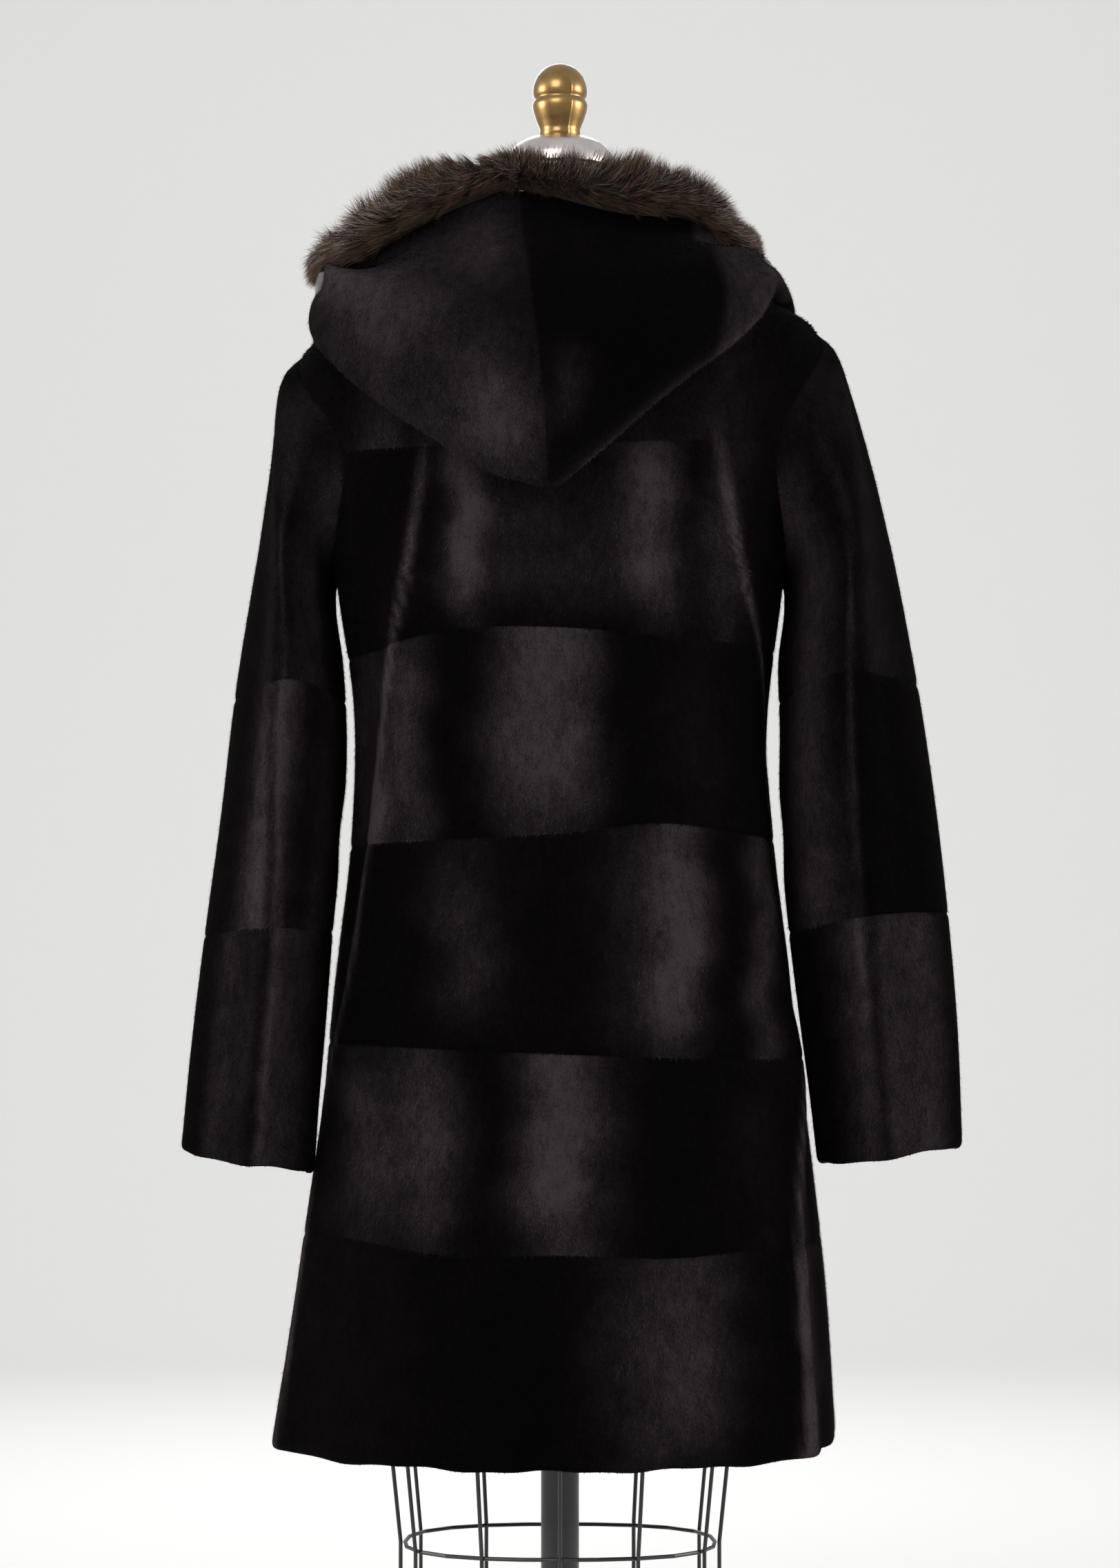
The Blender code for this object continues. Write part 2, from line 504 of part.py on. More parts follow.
def trim_rings(points, normals, columns):
    """Rings of the fur roll that stands on the hood's face edge."""
    table = np.array(HOOD_TABLE)
    height = through(np.linspace(-1.0, 1.0, len(table)), table[:, -1], columns)
    taper = ease(TRIM_END_SHARE + (1 - np.abs(columns)) * TRIM_TAPER)
    half_height = (height / 2 * taper)[:, None]
    rise = unit(points[-1] - points[-2])
    depth_way = normals[-1]
    centre = points[-1] - depth_way * WALL / 2 + rise * (half_height + SEAM_GAP)
    half_depth = TRIM_HALF_DEPTH * (half_height / half_height.max() + TRIM_LEAST_DEPTH)
    turn = np.linspace(0.0, 2 * math.pi, TRIM_SIDES, endpoint=False)
    return (centre[:, None] - (rise * half_height)[:, None] * np.cos(turn)[:, None]
            + (depth_way * half_depth)[:, None] * np.sin(turn)[:, None])


# ---------------------------------------------------------------- making objects
def make_material(name):
    colour, roughness, metallic = MATERIALS[name]
    material = bpy.data.materials.new(name)
    material.use_nodes = True
    shader = material.node_tree.nodes["Principled BSDF"]
    shader.inputs["Base Color"].default_value = (*colour, 1.0)
    shader.inputs["Roughness"].default_value = roughness
    shader.inputs["Metallic"].default_value = metallic
    return material


def finish_object(name, data, material, collection, root):
    obj = bpy.data.objects.new(name, data)
    data.materials.append(material)
    collection.objects.link(obj)
    obj.parent = root
    return obj


def mesh_of(name, vertices, faces):
    """A mesh from corners and faces, all turned to face out."""
    mesh = bpy.data.meshes.new(name)
    mesh.from_pydata([tuple(v) for v in vertices], [], [tuple(map(int, f)) for f in faces])
    work = bmesh.new()
    work.from_mesh(mesh)
    bmesh.ops.recalc_face_normals(work, faces=work.faces)
    if work.calc_volume(signed=True) < 0:
        bmesh.ops.reverse_faces(work, faces=work.faces)
    # The shorter diagonal is the same for both sides of a seam, so neighbours stay apart.
    bmesh.ops.triangulate(work, faces=work.faces, quad_method="SHORT_EDGE")
    work.to_mesh(mesh)
    work.free()
    mesh.shade_smooth()
    mesh.set_sharp_from_angle(angle=math.radians(SHARP_ANGLE))
    return mesh


def grid_faces(index, ring):
    """Quads between neighbouring rows of a grid of corner numbers."""
    if ring:
        index = np.concatenate([index, index[:, :1]], axis=1)
    corners = (index[:-1, :-1], index[:-1, 1:], index[1:, 1:], index[1:, :-1])
    return np.stack(corners, axis=-1).reshape(-1, 4)


def seam_shift(points, ring):
    """Moves that draw every edge of a piece back by half the seam gap."""
    shift = np.zeros(points.shape)

    def draw_back(line, inside, closed):
        tangent = unit(np.roll(line, -1, axis=0) - np.roll(line, 1, axis=0) if closed
                       else np.gradient(line, axis=0))
        inward = inside - line
        inward = inward - tangent * (inward * tangent).sum(axis=-1, keepdims=True)
        return unit(inward) * SEAM_GAP / 2

    for edge, beside in ((0, 1), (-1, -2)):
        shift[edge] += draw_back(points[edge], points[beside], ring)
        if not ring:
            shift[:, edge] += draw_back(points[:, edge], points[:, beside], False)
    return shift


def wall_mesh(name, outer, inner, ring=False):
    """A closed wall between two grids of points, with its rims."""
    shift = seam_shift(outer, ring)
    outer, inner = outer + shift, inner + shift
    rows, columns = outer.shape[:2]
    front = np.arange(rows * columns).reshape(rows, columns)
    back = front + rows * columns
    faces = [grid_faces(front, ring), grid_faces(back, ring)[:, ::-1]]
    for row, flip in ((0, 1), (rows - 1, -1)):
        faces.append(grid_faces(np.stack([back[row], front[row]]), ring)[:, ::flip])
    if not ring:
        for column, flip in ((0, -1), (columns - 1, 1)):
            rim = np.stack([back[:, column], front[:, column]])
            faces.append(grid_faces(rim, False)[:, ::flip])
    vertices = np.concatenate([outer.reshape(-1, 3), inner.reshape(-1, 3)])
    return mesh_of(name, vertices, np.concatenate(faces))


def loft_mesh(name, rings):
    """A solid through rings of points, with a flat cap on each end."""
    rows, sides = rings.shape[:2]
    index = np.arange(rows * sides).reshape(rows, sides)
    faces = [list(face) for face in grid_faces(index, True)]
    faces += [list(index[0]), list(index[-1][::-1])]
    return mesh_of(name, rings.reshape(-1, 3), faces)


def turned_object(name, profile, foot_z, steps, material, collection, root):
    """A turned piece: its profile, from the top down, swept round the upright axis."""
    mesh = bpy.data.meshes.new(name)
    corners = [(radius, 0.0, height) for radius, height in profile]
    mesh.from_pydata(corners, [(i, i + 1) for i in range(len(corners) - 1)], [])
    obj = finish_object(name, mesh, material, collection, root)
    obj.location.z = foot_z
    screw = obj.modifiers.new("turn", "SCREW")
    screw.steps = steps
    screw.render_steps = steps
    screw.use_merge_vertices = True
    screw.merge_threshold = 1e-5
    return obj


def wire_object(name, points, closed, material, collection, root):
    """A round wire along the points."""
    curve = bpy.data.curves.new(name, "CURVE")
    curve.dimensions = "3D"
    curve.bevel_depth = WIRE_RADIUS
    curve.bevel_resolution = 2
    curve.use_fill_caps = not closed
    spline = curve.splines.new("POLY")
    spline.points.add(len(points) - 1)
    for place, point in zip(spline.points, points):
        place.co = (*point, 1.0)
    spline.use_cyclic_u = closed
    return finish_object(name, curve, material, collection, root)


# ---------------------------------------------------------------- the object's parts
def make_body(materials, collection, root):
    panels = {
        "coat_back": (side_edge(-1, -1), side_edge(1, -1), BACK_COLUMNS),
        "coat_front_left": (side_edge(1, 1), centre_front(1), FRONT_COLUMNS),
        "coat_front_right": (centre_front(-1), side_edge(-1, 1), FRONT_COLUMNS),
    }
    for name, (first, last, columns) in panels.items():
        mesh = wall_mesh(name, *body_panel(first, last, columns))
        finish_object(name, mesh, materials["sheared_mink"], collection, root)


def make_sleeves(materials, collection, root):
    for name, side, table in (("sleeve_left", 1, LEFT_SLEEVE), ("sleeve_right", -1, RIGHT_SLEEVE)):
        mesh = wall_mesh(name, *sleeve_rings(side, table), ring=True)
        finish_object(name, mesh, materials["sheared_mink"], collection, root)


def make_hood(materials, collection, root):
    columns = np.linspace(-1.0, 1.0, 2 * HOOD_COLUMNS + 1)
    points, normals = hood_grid(columns, np.linspace(0.0, 1.0, HOOD_ROWS + 1))
    halves = {"hood_right": slice(0, HOOD_COLUMNS + 1), "hood_left": slice(HOOD_COLUMNS, None)}
    for name, part in halves.items():
        outer = points[:, part]
        mesh = wall_mesh(name, outer, outer - normals[:, part] * WALL)
        finish_object(name, mesh, materials["sheared_mink"], collection, root)
    mesh = loft_mesh("hood_trim", trim_rings(points, normals, columns))
    finish_object("hood_trim", mesh, materials["sable_fur"], collection, root)


def make_form(materials, collection, root):
    angle, level = np.meshgrid(np.linspace(0.0, 2 * math.pi, TORSO_SIDES, endpoint=False),
                               np.linspace(TORSO_FOOT_Z, NECK_TOP_Z, TORSO_ROWS + 1))
    mesh = loft_mesh("form_torso", section_surface(TORSO_SECTIONS, angle, level))
    finish_object("form_torso", mesh, materials["form_cloth"], collection, root)
    plate_z = NECK_TOP_Z + SEAM_GAP
    turned_object("form_neck_plate", NECK_PLATE_PROFILE, plate_z, PLATE_STEPS,
                  materials["nickel_plate"], collection, root)
    turned_object("form_finial", FINIAL_PROFILE, plate_z + NECK_PLATE_HEIGHT + SEAM_GAP,
                  FINIAL_STEPS, materials["gilt_brass"], collection, root)
    turned_object("form_base", BASE_PROFILE, 0.0, BASE_STEPS, materials["black_enamel"],
                  collection, root)
    post_height = TORSO_FOOT_Z - SEAM_GAP - POST_FOOT_Z
    post = ((0.0, post_height), (POST_RADIUS, post_height), (POST_RADIUS, 0.0), (0.0, 0.0))
    turned_object("form_post", post, POST_FOOT_Z, POST_STEPS, materials["black_enamel"],
                  collection, root)


def ring_points(half_width, half_depth, z, angles):
    side, depth = np.sin(angles), np.cos(angles)
    square = CAGE_SQUARENESS
    reach = (np.abs(side)**square + np.abs(depth)**square)**(-1 / square)
    return np.stack([half_width * reach * side, half_depth * reach * depth,
                     z + 0 * side], axis=-1)


def make_cage(materials, collection, root):
    enamel = materials["black_enamel"]
    angles = np.radians(CAGE_WIRE_ANGLES)
    half_way = (angles + np.append(angles[1:], 2 * math.pi)) / 2
    turn = np.stack([angles, half_way], axis=1).ravel()
    for name, (z, half_width, half_depth) in CAGE_RINGS.items():
        points = ring_points(half_width, half_depth, z, turn)
        wire_object(name, points, True, enamel, collection, root)
    outside = 2 * WIRE_RADIUS + SEAM_GAP
    lines = np.stack([ring_points(half_width + outside, half_depth + outside, z, angles)
                      for z, half_width, half_depth in CAGE_RINGS.values()])
    for number in range(len(angles)):
        name = f"cage_wire_{number + 1:02d}"
        wire_object(name, lines[:, number], False, enamel, collection, root)


def main():
    for obj in list(bpy.data.objects):
        bpy.data.objects.remove(obj, do_unlink=True)
    collection = bpy.data.collections.new("mink_coat_on_dress_form")
    bpy.context.scene.collection.children.link(collection)
    root = bpy.data.objects.new("mink_coat_on_dress_form", None)
    collection.objects.link(root)
    materials = {name: make_material(name) for name in MATERIALS}
    make_body(materials, collection, root)
    make_sleeves(materials, collection, root)
    make_hood(materials, collection, root)
    make_form(materials, collection, root)
    make_cage(materials, collection, root)


main()
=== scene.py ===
"""The looks of a hooded sheared mink coat on a limbless dress form.

Every surface is worked out with numpy as a function of two parameters on a grid, in metres,
with +Z up, the coat's back towards +Y and the wearer's left at +X. The coat's pelts are
walls that carry thousands of short hairs, and the hood's edging carries long ones.
"""

import math

import bmesh
import bpy
import numpy as np
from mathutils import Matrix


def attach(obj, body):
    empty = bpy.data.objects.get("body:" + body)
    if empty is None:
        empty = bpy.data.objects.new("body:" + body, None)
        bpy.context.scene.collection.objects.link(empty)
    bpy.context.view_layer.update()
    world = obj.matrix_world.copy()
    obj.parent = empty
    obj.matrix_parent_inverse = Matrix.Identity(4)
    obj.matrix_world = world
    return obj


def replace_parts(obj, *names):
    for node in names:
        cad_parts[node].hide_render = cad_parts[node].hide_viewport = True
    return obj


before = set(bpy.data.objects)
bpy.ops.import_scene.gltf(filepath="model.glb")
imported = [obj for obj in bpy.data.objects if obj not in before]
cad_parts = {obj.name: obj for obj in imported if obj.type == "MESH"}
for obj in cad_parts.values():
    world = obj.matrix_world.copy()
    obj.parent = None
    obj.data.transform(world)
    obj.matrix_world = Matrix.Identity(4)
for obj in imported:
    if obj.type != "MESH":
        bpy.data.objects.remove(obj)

bl_info = {
    "name": "Mink Coat on a Dress Form",
    "version": (1, 0, 0),
    "blender": (4, 5, 0),
    "location": "View3D > Sidebar > Mink Coat",
    "description": "Dresses the packed coat and form with fur, metal and enamel",
    "category": "Add Mesh",
}

BODY = "root"  # the one rigid body that every piece rides on

# ---------------------------------------------------------------- the coat's cut
HEM_Z = 0.476
UNDERARM_Z = 1.150
SHOULDER_Z = 1.350
NECKLINE_Z = 1.424
SHOULDER_HALF_WIDTH = 0.197
SHOULDER_TILT = 0.009  # the right shoulder stands this far above the mean height
ARMHOLE_HALF_ANGLE = 36.0
ARMHOLE_ROUNDNESS = 0.62
UNDERARM_LEAN = 0.10
ARMHOLE_LEAN = 0.50
ARMHOLE_LEAN_RISE = 0.12
SHOULDER_LEAN = 0.58
NECKLINE_LEAN = 0.45

WALL = 0.007  # leather and clipped fur together
PELT_DEPTH = 0.0011  # the pelt's grain lies this far under the hair tips
ROOT_DEPTH = 0.0004  # a tuft starts this far below the grain
LEAN_SPREAD = 0.13  # the tufts' random spreads: lean and swing in radians, then shading
SWING_SPREAD = 0.30
SHADE_SPREAD = 0.10
EDGE_ROUNDING = 0.0035
EDGE_ROW = 0.0060
EDGE_RIPPLE = 0.0011  # how far the hem and the cuffs wander
EDGE_FADE = 0.009  # the pile shortens this near to the hem and the cuffs
SHORTEST = 0.3  # to this share of its length
FURROW_DEPTH = 0.0009
FURROW_HALF_WIDTH = 0.0036
SEAM_OFFSETS = np.array([-6.0, -3.4, -1.8, -0.5, 0.5, 1.8, 3.4, 6.0]) / 1000

# level, side_z, half_width, shift_x, back_y, front_y, front_z, squareness
BODY_SECTIONS = (
    (0.476, 0.476, 0.2190, 0.002, 0.188, 0.165, 0.476, 2.15),
    (0.600, 0.600, 0.2060, -0.003, 0.173, 0.155, 0.600, 2.20),
    (0.700, 0.700, 0.1935, -0.0045, 0.160, 0.148, 0.700, 2.25),
    (0.850, 0.850, 0.1783, -0.0011, 0.145, 0.138, 0.850, 2.30),
    (0.950, 0.950, 0.1675, -0.001, 0.135, 0.131, 0.950, 2.40),
    (1.050, 1.050, 0.1655, -0.001, 0.128, 0.126, 1.050, 2.60),
    (1.150, 1.150, 0.1780, 0.000, 0.125, 0.127, 1.150, 2.80),
    (1.250, 1.254, 0.1880, 0.000, 0.122, 0.122, 1.250, 3.00),
    (1.350, 1.352, SHOULDER_HALF_WIDTH, 0.000, 0.112, 0.106, 1.325, 2.80),
    (1.385, 1.377, 0.1500, 0.000, 0.097, 0.092, 1.350, 2.40),
    (1.410, 1.396, 0.1050, 0.000, 0.081, 0.081, 1.366, 2.15),
    (1.424, 1.410, 0.0780, 0.000, 0.068, 0.075, 1.374, 2.00),
)

# angle_top, angle_middle, angle_hem, start_level, half_width, height
BODY_FOLDS = (
    (37.0, 57.0, 76.0, 1.240, 13.0, 0.009),
    (-42.0, -62.0, -61.0, 1.260, 12.0, 0.010),
    (14.0, 9.0, 6.0, 0.900, 16.0, 0.005),
    (-16.0, -22.0, -27.0, 0.900, 15.0, 0.005),
    (112.0, 110.0, 108.0, 1.100, 13.0, 0.011),
    (-114.0, -112.0, -110.0, 1.100, 13.0, 0.011),
    (146.0, 147.0, 148.0, 1.000, 12.0, 0.009),
    (-144.0, -146.0, -147.0, 1.000, 12.0, 0.009),
)
# The two long folds that frame the back break sharply on their outer side: the angle of each
# one's ridge at these levels, then its parts as side, degrees beyond, half_width and height.
PLEAT_LEVELS = (0.476, 0.600, 0.700, 0.780, 0.830, 0.940, 1.040, 1.150, 1.300)
PLEAT_PATHS = {
    1: (72.0, 70.0, 71.0, 66.0, 59.0, 55.0, 51.0, 38.0, 28.0),
    -1: (57.0, 56.0, 60.0, 70.0, 77.0, 79.0, 69.0, 47.0, 32.0),
}
BODY_PLEATS = (
    (1, 0.0, 4.5, 0.0034),
    (1, 10.0, 6.0, -0.0070),
    (-1, 0.0, 4.5, 0.0034),
    (-1, 10.0, 6.0, -0.0078),
)
PLEAT_START = 1.300
PLEAT_LIMIT = 88.0  # a fold's trough fades out before it reaches the side seam
PLEAT_FADE = 12.0
PLEAT_RIM = 0.80  # the light that a pleat's ridge catches
PLEAT_SHADE = 0.75  # the light that is lost beyond it
PLEAT_GROWTH = 0.12  # both grow over this height from the pleats' start
SHADE_START = 0.8  # in degrees past the ridge, where the shade starts and how fast it deepens
SHADE_WIDTH = 2.2
RIM_INSIDE = 0.5
RIM_HALF_WIDTH = 1.3
BACK_HALF = 90.5  # the shade falls on the back only
FOLD_MIDDLE = 0.45
FOLD_GROWTH = 1.6

# Small soft creases on top of the folds: troughs and ridges, each a slanted stroke.
# angle_at_middle, degrees_per_metre, middle_level, half_length, half_width_deg, height
BODY_CREASES = (
    (52.0, 42.0, 1.060, 0.110, 4.0, -0.0030),
    (70.0, 24.0, 1.020, 0.090, 5.0, 0.0022),
    (-50.0, -30.0, 1.030, 0.130, 4.0, -0.0030),
    (-74.0, -12.0, 0.900, 0.160, 4.5, -0.0035),
    (63.0, 20.0, 0.760, 0.150, 5.0, -0.0026),
    (22.0, 6.0, 0.640, 0.120, 6.0, -0.0022),
    (-8.0, -5.0, 0.600, 0.100, 6.0, 0.0018),
    (-34.0, -8.0, 0.620, 0.110, 6.0, -0.0024),
    (96.0, 10.0, 0.980, 0.120, 5.0, -0.0032),
    (-98.0, -8.0, 0.960, 0.140, 5.0, -0.0030),
    (128.0, 3.0, 0.720, 0.180, 6.0, -0.0034),
    (-130.0, -4.0, 0.700, 0.170, 6.0, -0.0034),
    (163.0, 4.0, 0.820, 0.150, 5.0, -0.0020),
    (-162.0, -5.0, 0.900, 0.130, 5.0, -0.0022),
)

# The seams between the bands of skins: mean height, then how far the seam stands from it
# at five places across, from the wearer's left side to the right one.
SEAM_PLACES = (0.16, 0.08, 0.0, -0.08, -0.16)
BAND_SEAMS = (
    (0.636, 0.006, -0.004, -0.002, -0.005, -0.001),
    (0.785, 0.004, 0.001, -0.002, -0.005, -0.007),
    (0.948, -0.005, -0.002, 0.002, 0.010, 0.000),
    (1.108, -0.017, -0.001, 0.000, -0.006, -0.011),
    (1.250, 0.000, 0.000, 0.000, 0.000, 0.000),
)

# along, outer_x, outer_z, inner_x, inner_z, half_depth, centre_y, ridge_angle
LEFT_SLEEVE = (
    (0.00, 0.1970, 1.343, 0.1780, 1.150, 0.080, 0.000, 66.0),
    (0.07, 0.2130, 1.318, 0.1772, 1.128, 0.078, 0.002, 68.0),
    (0.16, 0.2265, 1.262, 0.1718, 1.092, 0.076, 0.006, 70.0),
    (0.28, 0.2400, 1.180, 0.1682, 1.035, 0.072, 0.013, 73.0),
    (0.42, 0.2555, 1.078, 0.1695, 0.963, 0.065, 0.024, 80.0),
    (0.58, 0.2675, 0.965, 0.1768, 0.880, 0.057, 0.038, 92.0),
    (0.74, 0.2792, 0.867, 0.1815, 0.805, 0.049, 0.051, 96.0),
    (0.88, 0.2880, 0.782, 0.1860, 0.742, 0.042, 0.062, 96.0),
    (1.00, 0.2945, 0.706, 0.1890, 0.690, 0.037, 0.067, 96.0),
)
RIGHT_SLEEVE = (
    (0.00, 0.1970, 1.361, 0.1780, 1.150, 0.080, 0.000, 70.0),
    (0.07, 0.2145, 1.337, 0.1775, 1.128, 0.078, 0.001, 71.0),
    (0.16, 0.2390, 1.278, 0.1728, 1.092, 0.076, 0.004, 73.0),
    (0.28, 0.2610, 1.196, 0.1735, 1.035, 0.070, 0.009, 78.0),
    (0.42, 0.2812, 1.090, 0.1725, 0.963, 0.062, 0.015, 86.0),
    (0.58, 0.2965, 0.985, 0.1790, 0.880, 0.053, 0.022, 92.0),
    (0.74, 0.3070, 0.885, 0.1875, 0.805, 0.045, 0.028, 98.0),
    (0.88, 0.3135, 0.795, 0.1950, 0.745, 0.039, 0.032, 100.0),
    (1.00, 0.3162, 0.708, 0.2005, 0.694, 0.035, 0.034, 100.0),
)
SLEEVE_SEAMS = (0.34, 0.66)  # shares of the sleeve's length
SLEEVE_LENGTH = 0.65
RING_LEADS = ((0.00, 0.000), (0.34, 0.107), (0.66, 0.071), (1.00, 0.000))
RIDGE_HEIGHT = 0.010
RIDGE_HALF_WIDTH = 24.0
RIDGE_START = 0.20
RIDGE_CREST = 6.0  # the crest catches the light this many degrees past the ridge's middle
RIDGE_RIM = 0.34
RIDGE_SHADE = 0.6  # the light that is lost just before the crest
SLEEVE_BLEND = 0.22
SLEEVE_FULLNESS = 0.014
FULLNESS_START = 0.03
FULLNESS_END = 0.35
FULLNESS_POWER = 1.5
CUFF_ROW = 0.99

# turn_at_middle, degrees_per_share, middle_share, half_length, half_width_deg, height
SLEEVE_CREASES = (
    (40.0, -60.0, 0.14, 0.09, 9.0, -0.0035),
    (118.0, 50.0, 0.16, 0.10, 9.0, -0.0035),
    (60.0, 30.0, 0.46, 0.14, 8.0, -0.0026),
    (130.0, -30.0, 0.55, 0.15, 9.0, -0.0024),
    (74.0, 10.0, 0.84, 0.12, 8.0, -0.0022),
    (240.0, 20.0, 0.30, 0.16, 10.0, -0.0034),
    (290.0, -25.0, 0.60, 0.16, 10.0, -0.0030),
    (185.0, 12.0, 0.44, 0.05, 16.0, -0.0030),
)

# neck_angle, fold_angle, fold_level, thickness, puff, edge_x, edge_y, edge_z, trim_height
HOOD_TABLE = (
    (-178.0, -172.0, 1.318, 0.022, 0.000, -0.014, -0.130, 1.3560, 0.028),
    (-150.0, -142.0, 1.322, 0.022, 0.000, -0.066, -0.122, 1.3660, 0.032),
    (-125.0, -125.0, 1.352, 0.021, 0.000, -0.126, -0.082, 1.3920, 0.032),
    (-98.0, -97.0, 1.370, 0.019, 0.000, -0.150, -0.014, 1.4080, 0.028),
    (-70.0, -66.5, 1.373, 0.019, 0.001, -0.150, 0.038, 1.4060, 0.026),
    (-52.0, -47.5, 1.358, 0.024, 0.002, -0.132, 0.066, 1.4130, 0.028),
    (-35.0, -28.0, 1.316, 0.045, 0.009, -0.098, 0.093, 1.4290, 0.036),
    (-17.0, -11.5, 1.265, 0.054, 0.010, -0.045, 0.113, 1.4300, 0.042),
    (5.0, 3.0, 1.238, 0.058, 0.010, 0.030, 0.117, 1.4465, 0.029),
    (14.0, 16.5, 1.251, 0.056, 0.011, 0.062, 0.114, 1.4400, 0.034),
    (30.0, 29.0, 1.281, 0.050, 0.012, 0.100, 0.107, 1.4250, 0.040),
    (50.0, 45.5, 1.333, 0.037, 0.008, 0.148, 0.080, 1.4040, 0.038),
    (72.0, 67.0, 1.366, 0.019, 0.001, 0.184, 0.034, 1.3970, 0.032),
    (98.0, 97.0, 1.364, 0.018, 0.000, 0.183, -0.018, 1.3940, 0.030),
    (125.0, 125.0, 1.346, 0.021, 0.000, 0.138, -0.082, 1.3840, 0.033),
    (150.0, 143.0, 1.322, 0.022, 0.000, 0.068, -0.122, 1.3660, 0.032),
    (178.0, 172.0, 1.318, 0.022, 0.000, 0.014, -0.130, 1.3560, 0.028),
)
HOOD_CLEARANCE = 0.006
FOOT_LIFT = 0.0008
STAND_HEIGHT = 0.0205
STAND_UPRIGHT = 0.68
STAND_LEAN = 0.001
STAND_ROLL = 0.0075
UNDERSIDE_SHARES = (0.22, 0.50, 0.82)
BELLY_RISE = 0.006
PUFF_AT_FOLD = 0.4
FOLD_ENTRY = 0.10
FOLD_EXIT = 0.05
FOLD_LENGTH = 2.75
EDGE_STRIP = 0.010
EDGE_LEAN = 0.25
KNOT_POWER = 0.75
TRIM_HALF_DEPTH = 0.0165
TRIM_LEAST_DEPTH = 0.12
TRIM_END_SHARE = 0.55
TRIM_TAPER = 6.0
TRIM_CORE = 0.42  # the long hair's roots, as a share of the edging's radii
TRIM_WOOL = 0.60  # the under-wool's surface
TRIM_FOOT = 0.97  # where it reaches down to the hood's edge
TRIM_FULL_RADIUS = 0.018
TRIM_LOCKS = 11  # slow changes of the hair's flow along each half of the edging
LOCK_SWINGS = (0.42, 0.22, 0.14)  # their spread in sweep, lift and length
DROOP_AT = 0.50  # where the edging turns the hood's left corner, its hair hangs down
DROOP_HALF_WIDTH = 0.09
DROOP_PULL = 0.9
DROOP_LENGTHENS = 0.3
COMB_OUT = 0.62  # how strongly a guard hair points outward, up, and over the hood's edge
COMB_UP = 0.30
COMB_OVER = 0.8
HAIR_BELLY = 0.45  # a hair's bend, as a share of its length
TUFT_SPREAD = 0.22  # the tufts' random spread in sweep and lift, and a hair's in its tuft
HAIR_SPREAD = 0.10
TUFT_ROUND = 0.50  # how far round the edging a tuft's roots spread, in radians

# Dents and swellings of the laid-back hood, over its columns (-1 the right front end, 1 the
# left one) and its rows (0 the neckline, 1 the face edge).
# column, row, half_columns, half_rows, height
HOOD_DENTS = (
    (0.16, 0.80, 0.07, 0.07, -0.0045),
    (0.27, 0.87, 0.06, 0.05, 0.0035),
    (0.10, 0.66, 0.06, 0.05, 0.0030),
    (0.05, 0.60, 0.04, 0.05, -0.0030),
    (0.33, 0.72, 0.05, 0.06, -0.0030),
    (-0.12, 0.70, 0.07, 0.07, -0.0035),
    (-0.22, 0.84, 0.06, 0.06, 0.0030),
    (-0.34, 0.76, 0.05, 0.07, -0.0030),
    (-0.06, 0.88, 0.05, 0.05, 0.0025),
    (0.45, 0.82, 0.06, 0.06, 0.0022),
)

